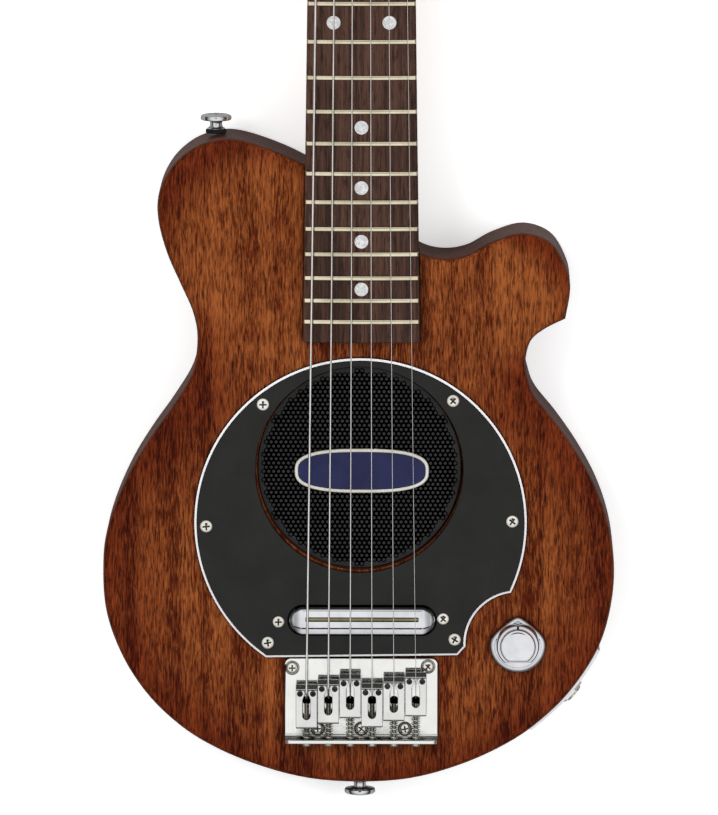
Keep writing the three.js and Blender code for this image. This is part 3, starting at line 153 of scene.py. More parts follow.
sky = bpy.data.worlds.new("studio_sky")
sky.use_nodes = True
bpy.context.scene.world = sky
sky_tree = sky.node_tree
sky_height = node(sky_tree, "SeparateXYZ", {
    0: node(sky_tree, "TexCoord").outputs["Generated"],
}).outputs[2]
sky_ramp = node(sky_tree, "ValToRGB", {0: sky_height})
sky_ramp.color_ramp.elements[0].position = 0.3
sky_ramp.color_ramp.elements[0].color = paint("3c3c3c")
sky_ramp.color_ramp.elements[1].position = 0.86
sky_ramp.color_ramp.elements[1].color = paint("ffffff")
lens_direction = node(sky_tree, "VectorMath", {
    0: node(sky_tree, "TexCoord").outputs["Generated"], 1: towards_camera,
}, operation="DOT_PRODUCT").outputs["Value"]
sky_shade = mixed(
    sky_tree, node(sky_tree, "LightPath").outputs["Is Camera Ray"],
    mixed(sky_tree, between(sky_tree, lens_direction, 0.984, 0.993), sky_ramp.outputs[0],
          paint("101010")),
    paint("ffffff"),
)
sky_light = sky_tree.nodes["Background"]
sky_tree.links.new(sky_shade, sky_light.inputs["Color"])
sky_light.inputs["Strength"].default_value = 1


def soft_lamp(name, place, width, watts):
    """A round soft box that faces the middle of the body and doesn't show in polished metal."""
    lamp = bpy.data.lights.new(name, "AREA")
    lamp.shape = "DISK"
    lamp.size = width
    lamp.energy = watts
    placed = bpy.data.objects.new(name, lamp)
    away = (Vector(place) - aimed_at).normalized()
    placed.matrix_world = Matrix.Translation(place) @ away.to_track_quat("Z", "Y").to_matrix().to_4x4()
    placed.visible_glossy = False
    bpy.context.scene.collection.objects.link(placed)


soft_lamp("bass_side_softbox", (-1.5, 1.3, 2.4), 1.6, 34)
soft_lamp("treble_side_softbox", (1.6, 0.5, 2.4), 1.6, 22)

# Body
# One slab of open-pored mahogany, 44 mm thick, cut to its outline with rounded edges and routed for
# the neck, the speaker, the pickup, the controls and the battery, then oiled and rubbed down.
body_width = 244.2
body_length = 309.9
tail_reach = 52.6
body_thickness = 44
body_edge = 2.6
outline_shares = [
    (0.397, 0.723), (0.4065, 0.77), (0.397, 0.806), (0.367, 0.842), (0.314, 0.856), (0.254, 0.8425),
    (0.205, 0.822), (0.158, 0.8165), (0.112, 0.826), (0.053, 0.858), (0, 0.893), (-0.055, 0.929),
    (-0.112, 0.961), (-0.179, 0.985), (-0.243, 0.9998), (-0.285, 0.9988), (-0.329, 0.986),
    (-0.369, 0.958), (-0.394, 0.918), (-0.396, 0.876), (-0.379, 0.824), (-0.352, 0.775),
    (-0.3285, 0.732), (-0.32, 0.69), (-0.331, 0.638), (-0.368, 0.588), (-0.41, 0.541),
    (-0.4475, 0.493), (-0.478, 0.441), (-0.4975, 0.393), (-0.505, 0.347), (-0.502, 0.28),
    (-0.483, 0.224), (-0.446, 0.166), (-0.3915, 0.113), (-0.315, 0.066), (-0.207, 0.027),
    (-0.08, 0.003), (0.072, 0.003), (0.193, 0.027), (0.299, 0.067), (0.3755, 0.1145),
    (0.427, 0.162), (0.466, 0.215), (0.487, 0.272), (0.4943, 0.333), (0.485, 0.397),
    (0.461, 0.456), (0.425, 0.51), (0.381, 0.561), (0.3385, 0.603), (0.324, 0.633),
    (0.3197, 0.657), (0.329, 0.6875), (0.3555, 0.7065), (0.397, 0.723),
]
scale_length = 609.6
board_end = 161
board_end_width = 55.6
nut_width = 44
string_spacing = 10.44
string_places = [(i - 2.5) * string_spacing for i in range(6)]
string_hole_y = -12.2
string_hole_radius = 2.3
neck_gap = 0.3
neck_pocket_end = 310
neck_pocket_floor = 28
speaker_middle = (-1, 99.2)
speaker_seat_middle = (-0.6, 99.7)
speaker_seat_radius = 49.2
speaker_seat_floor = 34.5
speaker_well_radius = 45
speaker_well_floor = 6
pickup_middle = (0.4, 26.6)
pickup_pocket_floor = 27
cavity_middle = (70, 19.3)
cavity_roof = 37.6
knob_place = (74.8, 15.1)
pot_hole_radius = 4.55
battery_middle = (-63, 21)
battery_well_roof = 21.3
ferrule_y = -11.5
ferrule_slot_roof = 6.6
neck_plate_y = 178
plate_rebate = 2.6
door_rebate = 2.8
above_face = body_thickness + 2
below_back = -2


def bent_line(knots, steps):
    """Points on a smooth line through the knots."""
    points = []
    last = len(knots) - 1
    for i in range(last):
        a, b, c, d = (Vector(knots[j]) for j in (max(i - 1, 0), i, i + 1, min(i + 2, last)))
        for step in range(steps):
            t = step / steps
            pull, leave = (c - a) / 2, (d - b) / 2
            points.append(
                (2 * b - 2 * c + pull + leave) * t ** 3 + (3 * c - 3 * b - 2 * pull - leave) * t ** 2
                + pull * t + b
            )
    return points + [Vector(knots[-1])]


def drawn_in(points, distance):
    """A closed outline, drawn counter-clockwise, moved in by a distance."""
    moved = []
    for i, point in enumerate(points):
        before = (point - points[i - 1]).normalized()
        after = (points[(i + 1) % len(points)] - point).normalized()
        along = (before + after).normalized()
        moved.append(point + Vector((-along.y, along.x)) * distance)
    return moved


def stacked(points, rings):
    """Rings from one outline, each drawn in by its inset and set at its height."""
    return [[(*point, height) for point in drawn_in(points, inset)] for inset, height in rings]


def plate_rings(points, low, high, edge, steps=4):
    """Rings of a plate whose two rims are rounded."""
    rings = []
    for i in range(steps + 1):
        angle = math.pi / 2 * i / steps
        rings.append((edge * (1 - math.sin(angle)), low + edge * (1 - math.cos(angle))))
    rings += [(inset, high - (height - low)) for inset, height in reversed(rings)]
    return stacked(points, rings)


def round_line(x, y, radius, sides):
    """A circle as an outline."""
    return [Vector((
        x + radius * math.cos(2 * math.pi * i / sides), y + radius * math.sin(2 * math.pi * i / sides),
    )) for i in range(sides)]


def rounded_oblong(x, y, width, length, corner, steps=6):
    """A rectangle with round corners as an outline."""
    points = []
    for quarter, (side, end) in enumerate(((1, 1), (-1, 1), (-1, -1), (1, -1))):
        middle = Vector((x + side * (width / 2 - corner), y + end * (length / 2 - corner)))
        for i in range(steps + 1):
            angle = math.pi / 2 * (quarter + i / steps)
            points.append(middle + Vector((math.cos(angle), math.sin(angle))) * corner)
    return points


def skinned(form, rings, closed=True):
    """Faces between rings of equal count, with a flat face over each end."""
    made = [[form.verts.new(Vector(corner) * mm) for corner in ring] for ring in rings]
    count = len(made[0])
    for low, high in zip(made, made[1:]):
        for i in range(count):
            form.faces.new((low[i], low[(i + 1) % count], high[(i + 1) % count], high[i]))
    if closed:
        form.faces.new(list(reversed(made[0])))
        form.faces.new(made[-1])


def form_object(name, form):
    """A bare object with this mesh."""
    bmesh.ops.remove_doubles(form, verts=form.verts, dist=0.002 * mm)
    loose = [edge for edge in form.edges if not edge.link_faces]
    bmesh.ops.delete(form, geom=loose, context="EDGES")
    bmesh.ops.recalc_face_normals(form, faces=form.faces)
    mesh = bpy.data.meshes.new(name)
    form.to_mesh(mesh)
    form.free()
    made = bpy.data.objects.new(name, mesh)
    bpy.context.scene.collection.objects.link(made)
    return made


def solid(name, *shells, closed=True):
    """One object of a shell or more, each skinned over its rings."""
    form = bmesh.new()
    for rings in shells:
        skinned(form, rings, closed)
    return form_object(name, form)


def prism(points, low, high):
    """The two end rings of a straight-sided form."""
    return [[(*point, height) for point in points] for height in (low, high)]


def block(points, low, high, edge=0, name="cutter"):
    """A solid of this outline between two heights, with rounded rims if an edge is given."""
    return solid(name, plate_rings(points, low, high, edge) if edge else prism(points, low, high))


def worked(piece, tools, operation="DIFFERENCE"):
    """The piece after each tool has cut it, been added to it or kept only what the two share."""
    for tool in tools:
        step = piece.modifiers.new("step", "BOOLEAN")
        step.object = tool
        step.operation = operation
        step.solver = "EXACT"
    shaped = bpy.data.meshes.new_from_object(piece.evaluated_get(bpy.context.evaluated_depsgraph_get()))
    piece.modifiers.clear()
    piece.data = shaped
    for tool in tools:
        bpy.data.objects.remove(tool)
    return piece


def finished(piece, materials, stands_for=None, body="guitar", soften=0.0, sharp=32, clamp=True):
    for coat in materials:
        piece.data.materials.append(coat)
    for face in piece.data.polygons:
        face.use_smooth = True
    piece.data.set_sharp_from_angle(angle=math.radians(sharp))
    if soften:
        rim = piece.modifiers.new("softened edges", "BEVEL")
        rim.width = soften * mm
        rim.segments = 2
        rim.limit_method = "ANGLE"
        rim.angle_limit = math.radians(sharp)
        rim.harden_normals = True
        rim.use_clamp_overlap = clamp
    flats = piece.modifiers.new("true flats", "WEIGHTED_NORMAL")
    flats.keep_sharp = True
    if body:
        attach(piece, body)
    if stands_for:
        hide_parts(stands_for)
    return piece


def new_group(name, inputs, outputs):
    """An empty node group with its sockets; four default values make a colour, three a vector."""
    group = bpy.data.node_groups.new(name, "ShaderNodeTree")
    for label, default in inputs.items():
        kind = "Float"
        if isinstance(default, tuple):
            kind = "Color" if len(default) == 4 else "Vector"
        socket = group.interface.new_socket(label, in_out="INPUT", socket_type="NodeSocket" + kind)
        socket.default_value = default
    for label, kind in outputs.items():
        group.interface.new_socket(label, in_out="OUTPUT", socket_type="NodeSocket" + kind)
    return group, group.nodes.new("NodeGroupInput")


def wood_figure():
    """Long-grained wood: slow bands, streaks along Y and short dark pores."""
    group, given = new_group("wood_figure", {
        "Place": (0.0, 0.0, 0.0), "Light": paint("8a4a2a"), "Dark": paint("5a2412"),
        "Pore": paint("2a0f08"), "Streak Width": 2.0, "Streak Length": 40.0, "Pore Amount": 0.6,
        "Band Amount": 0.5,
    }, {"Color": "Color", "Height": "Float"})
    place = given.outputs["Place"]
    drawn = node(group, "Mapping", {0: place, "Scale": (1, 0.045, 1)}).outputs[0]
    share = node(group, "Math", {
        0: given.outputs["Streak Width"], 1: given.outputs["Streak Length"],
    }, operation="DIVIDE")
    stretch = node(group, "CombineXYZ", {0: 1.0, 1: share.outputs[0], 2: 1.0})
    flecked = node(group, "VectorMath", {0: place, 1: stretch.outputs[0]}, operation="MULTIPLY")
    short = node(group, "Mapping", {0: place, "Scale": (1, 0.13, 1)}).outputs[0]
    fineness = node(group, "Math", {0: 1000.0, 1: given.outputs["Streak Width"]}, operation="DIVIDE")
    bands = node(group, "TexNoise", {"Vector": place, "Scale": 16.0, "Detail": 3.0})
    ribbon = node(group, "TexNoise", {"Vector": drawn, "Scale": 95.0, "Detail": 3.0, "Roughness": 0.6})
    streaks = node(group, "TexNoise", {
        "Vector": flecked.outputs[0], "Scale": fineness.outputs[0], "Detail": 4.0, "Roughness": 0.7,
        "Distortion": 0.5,
    })
    pores = node(group, "TexNoise", {"Vector": short, "Scale": 1150.0, "Detail": 2.0})
    tone = node(group, "Math", {
        0: between(group, bands.outputs[0], 0.3, 0.7), 1: given.outputs["Band Amount"],
        2: between(group, streaks.outputs[0], 0.37, 0.63, -0.15, 0.8),
    }, operation="MULTIPLY_ADD")
    figure = node(group, "Math", {
        0: between(group, ribbon.outputs[0], 0.35, 0.68, -0.35, 0.35), 1: tone.outputs[0],
    }, operation="ADD", use_clamp=True)
    plain = mixed(group, figure.outputs[0], given.outputs["Dark"], given.outputs["Light"])
    open_pores = node(group, "Math", {
        0: between(group, pores.outputs[0], 0.52, 0.68), 1: given.outputs["Pore Amount"],
    }, operation="MULTIPLY")
    colored = mixed(group, open_pores.outputs[0], plain, given.outputs["Pore"])
    height = node(group, "Math", {0: streaks.outputs[0], 1: open_pores.outputs[0]}, operation="SUBTRACT")
    leaving = group.nodes.new("NodeGroupOutput")
    group.links.new(colored, leaving.inputs["Color"])
    group.links.new(height.outputs[0], leaving.inputs["Height"])
    return group


wood_group = wood_figure()


def wood(name, light, dark, pore, roughness, streak=(2, 40), pores=0.6, bands=0.5, relief=0.06,
         shine=0.15):
    """A wood finish with its own colours and grain; a streak is its width and length in millimetres."""
    made, tree, shader = material(name, light, roughness)
    shader.inputs["Specular IOR Level"].default_value = shine
    figure = node(tree, "Group", node_tree=wood_group)
    tree.links.new(node(tree, "TexCoord").outputs["Object"], figure.inputs["Place"])
    for label, value in (("Light", paint(light)), ("Dark", paint(dark)), ("Pore", paint(pore)),
                         ("Streak Width", streak[0]), ("Streak Length", streak[1]),
                         ("Pore Amount", pores), ("Band Amount", bands)):
        figure.inputs[label].default_value = value
    grain = node(tree, "Bump", {
        "Strength": 0.6, "Distance": relief * mm, "Height": figure.outputs["Height"],
    })
    sheen = between(tree, figure.outputs["Height"], 0.0, 0.6, roughness + 0.12, roughness)
    tree.links.new(figure.outputs["Color"], shader.inputs["Base Color"])
    tree.links.new(sheen, shader.inputs["Roughness"])
    tree.links.new(grain.outputs[0], shader.inputs["Normal"])
    return made


def board_half(y):
    """Half the fretboard's width at a place along it."""
    return (nut_width + (board_end_width - nut_width) * (scale_length - y) / (scale_length - board_end)) / 2


body_outline = bent_line(
    [(across * body_width, along * body_length - tail_reach) for across, along in outline_shares], 6,
)[:-1]
body = solid("body_slab", plate_rings(body_outline, 0, body_thickness, body_edge, 6))
neck_pocket = [
    Vector((side * (board_half(y) + neck_gap), y)) for side, y in (
        (-1, board_end - neck_gap), (1, board_end - neck_gap), (1, neck_pocket_end), (-1, neck_pocket_end),
    )
]
pickup_pocket = rounded_oblong(*pickup_middle, 94, 18, 8.9)
control_cavity = rounded_oblong(*cavity_middle, 52, 48, 10)
cover_seat = rounded_oblong(*cavity_middle, 61.6, 57.6, 14.5)
battery_well = rounded_oblong(*battery_middle, 53.1, 28.5, 2)
door_seat = rounded_oblong(*battery_middle, 60.7, 36.1, 0.6, 2)
ferrule_slot = rounded_oblong(0, ferrule_y, 62.6, 8.6, 3.6)
neck_plate_seat = rounded_oblong(0, neck_plate_y, 50.6, 40.6, 5)
worked(body, [
    block(neck_pocket, neck_pocket_floor, above_face),
    block(round_line(*speaker_seat_middle, speaker_seat_radius, 96), speaker_seat_floor, above_face),
    block(round_line(*speaker_middle, speaker_well_radius, 72), speaker_well_floor, body_thickness - 4),
    block(pickup_pocket, pickup_pocket_floor, above_face),
    block(control_cavity, below_back, cavity_roof),
    block(cover_seat, below_back, plate_rebate),
    block(round_line(*knob_place, pot_hole_radius, 32), body_thickness - 14, above_face),
    block(battery_well, below_back, battery_well_roof),
    block(door_seat, below_back, door_rebate),
    block(ferrule_slot, below_back, ferrule_slot_roof),
    block(neck_plate_seat, below_back, plate_rebate),
    *[block(round_line(x, string_hole_y, string_hole_radius, 16), below_back, above_face)
      for x in string_places],
])


def darker_edges(made, ovals):
    """The face is darker towards the body's edges, outside the ovals that fill its outline, with a cloudy
    border.
    """
    tree = made.node_tree
    shader = tree.nodes["Principled BSDF"]
    place = node(tree, "TexCoord").outputs["Object"]
    nearest = None
    for x, y, across, along in ovals:
        moved = node(tree, "VectorMath", {0: place, 1: (x * mm, y * mm, 0)}, operation="SUBTRACT")
        scaled = node(tree, "VectorMath", {
            0: moved.outputs[0], 1: (1 / (across * mm), 1 / (along * mm), 0),
        }, operation="MULTIPLY")
        reach = node(tree, "VectorMath", {0: scaled.outputs[0]}, operation="LENGTH").outputs["Value"]
        nearest = reach if nearest is None else node(tree, "Math", {
            0: nearest, 1: reach, 2: 0.2,
        }, operation="SMOOTH_MIN").outputs[0]
    clouds = node(tree, "TexNoise", {"Vector": place, "Scale": 24.0, "Detail": 2.0}).outputs[0]
    edge = node(tree, "Math", {0: clouds, 1: 0.25, 2: nearest}, operation="MULTIPLY_ADD").outputs[0]
    figure = shader.inputs["Base Color"].links[0].from_socket
    darkened = mixed(tree, 1.0, figure, paint("c49c90"), "MULTIPLY")
    tree.links.new(mixed(tree, between(tree, edge, 0.82, 1.1), figure, darkened),
                   shader.inputs["Base Color"])


def shaded_corners(made, distance, low, high, shade):
    """Painted shade: the colour is darker where other pieces stand close, for the shade there and, on
    metal, for the dark things it reflects there.
    """
    tree = made.node_tree
    color = tree.nodes["Principled BSDF"].inputs["Base Color"]
    crowded = node(tree, "AmbientOcclusion", {"Distance": distance * mm}, samples=8).outputs["AO"]
    tree.links.new(
        mixed(tree, between(tree, crowded, low, high), paint(shade), color.links[0].from_socket), color,
    )


mahogany_face = wood(
    "mahogany_face", "9c562a", "491503", "260a02", 0.45, streak=(0.8, 8), pores=0.7, bands=0.35,
    relief=0.07, shine=0.06,
)
# The sides are the same mahogany as the face, given darker colours as painted shade on the walls that turn
# away from the light.
mahogany_side_painted_shade = wood(
    "mahogany_side_painted_shade", "66321c", "48200f", "1e0a05", 0.42, streak=(1, 12), pores=0.5, bands=0.2,
    shine=0.3,
)
darker_edges(mahogany_face, [
    (-1.4, 50, 123, 104), (0, 160, 80, 72), (-50, 205, 48, 53), (60, 179, 41, 34),
])
# Painted shade: the face turns nearly black in the narrow gaps round the guard, the plates and the knob.
shaded_corners(mahogany_face, 2, 0.5, 0.8, "140906")
finished(body, [mahogany_face, mahogany_side_painted_shade], "body", sharp=40)
# Faces turned up take the face's colours; the walls take the darker copy, a painted shade.
for face in body.data.polygons:
    face.material_index = 0 if abs(face.normal.z) > 0.75 else 1

# Neck
# Maple, carved with a square heel that sits in the body's pocket, a round back and a headstock
# that is planed down behind the nut; drilled for six tuners and slotted for the truss rod.
heel_end = board_end + neck_gap
neck_seat = 46
neck_depth = 15.2
nut_back = 614.5
head_width = 80
head_length = 165
head_drop = 4.6
head_run = 13
head_face = neck_seat - head_drop
head_back = 27.4
head_edge = 1.4
post_spread = 26
post_pitch = 38
first_post = 656.5
post_hole_radius = 5
truss_slot_floor = 37.5
truss_slot = rounded_oblong(0, 404, 8.2, 457, 0.5, 2)
over_neck = 50
under_head = 20
past_head = 800
neck_stations = [
    (0, 1.158, 12), (0.165, 1.158, 12), (0.19, 1.157, 6), (0.225, 1.125, 3), (0.28, 1.1, 2.3),
    (0.6, 1.045, 2.2), (0.95, 1, 2.2), (1, 1.01, 2.2), (1.035, 1.11, 2.4), (1.07, 1.18, 3),
]
head_shares = [
    (0.276, 0), (0.288, 0.04), (0.36, 0.1), (0.455, 0.165), (0.5, 0.245), (0.487, 0.4),
    (0.468, 0.6), (0.452, 0.8), (0.425, 0.915), (0.33, 0.978), (0.17, 0.997), (0, 0.9999),
]
post_places = [(-post_spread, first_post + i * post_pitch) for i in range(3)]
post_places += [(post_spread, y) for _, y in reversed(post_places)]


def neck_ring(along, depth, square, steps=32):
    """A cut across the neck: flat on top, with a back that is round or, at the heel, nearly square."""
    y = heel_end + along * (scale_length - heel_end)
    half = board_half(min(y, scale_length))
    ring = []
    for i in range(steps + 1):
        across, down = math.cos(math.pi * i / steps), math.sin(math.pi * i / steps)
        ring.append((
            half * math.copysign(abs(across) ** (2 / square), across), y,
            neck_seat - neck_depth * depth * down ** (2 / square),
        ))
    return ring


def side_cut(outline, width, x=0, name="cutter"):
    """A solid drawn in side view, along Y and Z, and as wide as this across X."""
    return solid(name, [[(x + side * width / 2, *point) for point in outline] for side in (-1, 1)])


neck = solid("neck_wood", [neck_ring(*station) for station in bent_line(neck_stations, 6)])
head_right = [(across * head_width, nut_back + along * head_length) for across, along in head_shares]
head_outline = bent_line(head_right + [(-x, y) for x, y in reversed(head_right[:-1])], 6)
planed_off = [(nut_back, over_neck + 10), (nut_back, neck_seat)]
for t in (i / 8 for i in range(1, 9)):
    planed_off.append((
        nut_back + head_run * (t * (1 - t) / 2 + t * t), neck_seat - head_drop * (2 * t * (1 - t) + t * t),
    ))
planed_off += [(past_head, head_face), (past_head, over_neck + 10)]
worked(neck, [block(head_outline, head_back, neck_seat, head_edge)], "UNION")
worked(neck, [
    side_cut(planed_off, head_width + 10),
    block(truss_slot, truss_slot_floor, over_neck),
    *[block(round_line(x, y, post_hole_radius, 32), under_head, over_neck) for x, y in post_places],
])
maple = wood(
    "maple", "cda069", "ab7a43", "8a5c2e", 0.38, streak=(3, 90), pores=0.2, bands=0.3, relief=0.02,
)
finished(neck, [maple], "neck", sharp=38)

# Truss rod
# A steel rod in its slot under the fretboard, which holds the neck straight against the strings;
# the hex nut that tightens it shows behind the nut.


def handling_marks():
    """What use leaves on a hard surface: smears, fine scratches and a faint unevenness."""
    group, given = new_group("handling_marks", {
        "Place": (0.0, 0.0, 0.0), "Roughness": 0.3, "Smear": 0.08, "Scratch": 0.3,
    }, {"Roughness": "Float", "Height": "Float", "Mask": "Float"})
    place = given.outputs["Place"]
    smears = node(group, "TexNoise", {"Vector": place, "Scale": 70.0, "Detail": 5.0, "Roughness": 0.6})
    uneven = node(group, "TexNoise", {"Vector": place, "Scale": 700.0, "Detail": 2.0})
    lines = []
    for turn, reach in ((0.5, 0.02), (-1.0, 0.03)):
        drawn = node(group, "Mapping", {0: place, "Rotation": (0, 0, turn), "Scale": (1, reach, 1)})
        noise = node(group, "TexNoise", {"Vector": drawn.outputs[0], "Scale": 1500.0, "Detail": 3.0})
        lines.append(between(group, noise.outputs[0], 0.63, 0.72))
    crossed = node(group, "Math", {0: lines[0], 1: lines[1]}, operation="MAXIMUM")
    scored = node(group, "Math", {0: crossed.outputs[0], 1: given.outputs["Scratch"]}, operation="MULTIPLY")
    swing = node(group, "Math", {
        0: between(group, smears.outputs[0], 0.3, 0.7, -1.0, 1.0), 1: given.outputs["Smear"],
        2: given.outputs["Roughness"],
    }, operation="MULTIPLY_ADD")
    rough = node(group, "Math", {0: scored.outputs[0], 1: 0.25, 2: swing.outputs[0]},
                 operation="MULTIPLY_ADD", use_clamp=True)
    height = node(group, "Math", {0: uneven.outputs[0], 1: 0.25, 2: scored.outputs[0]},
                  operation="MULTIPLY_ADD")
    leaving = group.nodes.new("NodeGroupOutput")
    group.links.new(rough.outputs[0], leaving.inputs["Roughness"])
    group.links.new(height.outputs[0], leaving.inputs["Height"])
    group.links.new(between(group, smears.outputs[0], 0.35, 0.65), leaving.inputs["Mask"])
    return group


marks_group = handling_marks()


def hard(name, color, shade, roughness, metallic=0.0, smear=0.06, scratch=0.3, relief=0.006, grain=0):
    """Metal or plastic with the marks of use over it, and with a moulded grain if it has one."""
    made, tree, shader = material(name, color, roughness, metallic)
    shader.inputs["Specular IOR Level"].default_value = 0.2
    marks = node(tree, "Group", node_tree=marks_group)
    place = node(tree, "TexCoord").outputs["Object"]
    tree.links.new(place, marks.inputs["Place"])
    for label, value in (("Roughness", roughness), ("Smear", smear), ("Scratch", scratch)):
        marks.inputs[label].default_value = value
    normal = node(tree, "Bump", {
        "Strength": 0.5, "Distance": relief * mm, "Height": marks.outputs["Height"],
    }).outputs[0]
    if grain:
        pebbles = node(tree, "TexVoronoi", {"Vector": place, "Scale": 1400.0})
        normal = node(tree, "Bump", {
            "Strength": 0.5, "Distance": grain * mm, "Height": pebbles.outputs["Distance"],
            "Normal": normal,
        }).outputs[0]
    tree.links.new(mixed(tree, marks.outputs["Mask"], paint(color), paint(shade)),
                   shader.inputs["Base Color"])
    tree.links.new(marks.outputs["Roughness"], shader.inputs["Roughness"])
    tree.links.new(normal, shader.inputs["Normal"])
    return made


def kept(name, coat):
    """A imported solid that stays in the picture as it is, with a better finish."""
    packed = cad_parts[name]
    packed.data.materials.clear()
    packed.data.materials.append(coat)
    for face in packed.data.polygons:
        face.material_index = 0


black_steel = hard("black_steel", "3a3b3e", "26272a", 0.42, 1, smear=0.1, scratch=0.5, relief=0.02)
kept("truss_rod", black_steel)

# Fretboard
# Rosewood, crowned across and tapered to the nut, with 22 nickel-silver frets pressed into sawn
# slots and pearl dots let in flush; the frets' ends are filed back at a slant.
board_top = 51.5
board_bottom = 46.1
board_radius = 305
fret_half_width = 1.2
fret_foot = 0.4
fret_crown = [(fret_half_width, 0), (1.16, 0.5), (1.04, 0.84), (0.8, 1.03), (0.4, 1.09), (0, 1.1)]
fret_crown += [(-across, rise) for across, rise in fret_crown[-2::-1]]
fret_rows = [scale_length * 2 ** (-number / 12) for number in range(23)]
dotted_frets = (3, 5, 7, 9, 12, 15, 17, 19, 21)
octave_fret = 12
twin_dots = 13.2
dot_radius = 3.25


def crown_drop(x):
    """How far the fretboard's crown has fallen at a distance from its middle line."""
    return x * x / (2 * board_radius)


def board_ring(y):
    """A cut across the fretboard."""
    half = board_half(y)
    crown = [(half * i / 8, y, board_top - crown_drop(half * i / 8)) for i in range(8, -9, -1)]
    return crown + [(-half, y, board_bottom), (half, y, board_bottom)]


def fret_rings(y):
    """Cuts through one fret, from end to end, each a round crown over a foot in the slot."""
    half = board_half(y)
    stations = [(-half, 0.25), (-half + 0.45, 0.85), (-half + 0.9, 1)]
    stations += [(half * i / 6, 1) for i in range(-5, 6)]
    stations += [(-x, share) for x, share in reversed(stations[:3])]
    rings = []
    for x, share in stations:
        seat = board_top - crown_drop(x)
        ring = [(x, y + across, seat + rise * share) for across, rise in fret_crown]
        ring += [(x, y + side * fret_half_width, seat - fret_foot) for side in (-1, 1)]
        rings.append(ring)
    return rings


def dot_rings(x, y):
    """Rings of one dot, which follows the board's crown and stands a hair over it."""
    steps = ((0, -0.5), (dot_radius, -0.5), (dot_radius, 0.02), (3.1, 0.04), (1.6, 0.05), (0, 0.05))
    return [[
        (point.x, point.y, board_top + rise - crown_drop(point.x)) for point in round_line(x, y, radius, 32)
    ] for radius, rise in steps]


def pearl():
    """Mother of pearl: soft grey-white clouds with a thin clear polish."""
    made, tree, shader = material("pearl", "d2d3d4", 0.22, coat=0.4)
    place = node(tree, "TexCoord").outputs["Object"]
    clouds = node(tree, "TexNoise", {"Vector": place, "Scale": 420.0, "Detail": 3.0, "Distortion": 1.2})
    mask = between(tree, clouds.outputs[0], 0.35, 0.65)
    normal = node(tree, "Bump", {"Strength": 0.3, "Distance": 0.01 * mm, "Height": mask})
    tree.links.new(mixed(tree, mask, paint("b9bbbe"), paint("dddddc")), shader.inputs["Base Color"])
    tree.links.new(between(tree, mask, 0, 1, 0.18, 0.3), shader.inputs["Roughness"])
    tree.links.new(normal.outputs[0], shader.inputs["Normal"])
    return made


board = solid("fretboard_wood", [
    board_ring(board_end + (scale_length - board_end) * i / 24) for i in range(25)
])
rosewood = wood(
    "rosewood", "573c31", "311f19", "1a0f0b", 0.5, streak=(1.6, 50), pores=0.6, bands=0.3, relief=0.09,
)
finished(board, [rosewood], "fretboard", soften=0.35)
frets = solid("frets", *[fret_rings(y) for y in fret_rows[1:]])
fret_metal = hard("fret_metal", "ece2c6", "cfc5a9", 0.2, 1, scratch=0.6, relief=0.01)
finished(frets, [fret_metal], "fretboard", sharp=40)
dot_places = []
for number in dotted_frets:
    between_frets = (fret_rows[number - 1] + fret_rows[number]) / 2
    dot_places += [(x, between_frets) for x in ((-twin_dots, twin_dots) if number == octave_fret else (0,))]
dots = solid("position_dots", *[dot_rings(*place) for place in dot_places], closed=False)
finished(dots, [pearl()], "fretboard", sharp=50)

# Nut
# Bone, 4.6 mm thick, glued across the end of the fretboard, with six slots filed to the strings
# and its back edge rounded over.


def refined(name, coat, body="guitar", soften=0.2):
    """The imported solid's own mesh, with its flats rejoined, its edges eased and its curves smooth."""
    form = bmesh.new()
    form.from_mesh(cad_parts[name].data)
    bmesh.ops.remove_doubles(form, verts=form.verts, dist=0.002 * mm)
    bmesh.ops.dissolve_limit(
        form, angle_limit=math.radians(1), verts=form.verts, edges=form.edges,
    )
    return finished(form_object(name + "_fine", form), [coat], name, body, soften)


bone = hard("bone", "e9e2cd", "d9cfb4", 0.42, smear=0.1, scratch=0.5, relief=0.02)
refined("nut", bone, soften=0.25)

# Speaker
# A small full-range driver, screwed into the body's round seat: a stamped steel basket, a paper
# cone with its rolled surround and dust cap, and the magnet behind.
cone_edge = 38
cone_rim = 35.2
roll_half_width = 2.85
roll_rise = 1.3
coil_radius = 11.5
former_radius = 12.1
dust_cap = [(0, 28.9), (5, 28.5), (9, 27.2), (coil_radius, 25.5)]
cone_line = dust_cap + [(14, 27), (26, 31.8), (cone_edge, cone_rim)]
roll_line = [
    (cone_edge + roll_half_width - roll_half_width * math.cos(a), cone_rim + roll_rise * math.sin(a))
    for a in (math.pi * i / 10 for i in range(1, 11))
]
cone_back = [
    (43.7, 34.6), (cone_edge, 34.6), (former_radius, 24.2), (former_radius, 14.9), (coil_radius, 14.9),
    (coil_radius, 24), (0, 27.6),
]


def turned(profile, place, out=(0, 0, 1), sides=48):
    """Rings of a turned form: its profile is in radius and height along the way out from a place."""
    turn = Vector((0, 0, 1)).rotation_difference(Vector(out))
    return [
        [Vector(place) + turn @ Vector((*point, height)) for point in round_line(0, 0, radius, sides)]
        for radius, height in profile
    ]


kept("speaker_basket", black_steel)
kept("speaker_magnet", black_steel)
cone = solid("speaker_paper", turned(
    bent_line(cone_line, 4) + roll_line + cone_back, (*speaker_middle, 0), sides=96,
), closed=False)
paper = hard("paper_cone", "1d1b1a", "141312", 0.9, smear=0.05, scratch=0.0, relief=0.05, grain=0.12)
finished(cone, [paper], "speaker_cone", sharp=40)

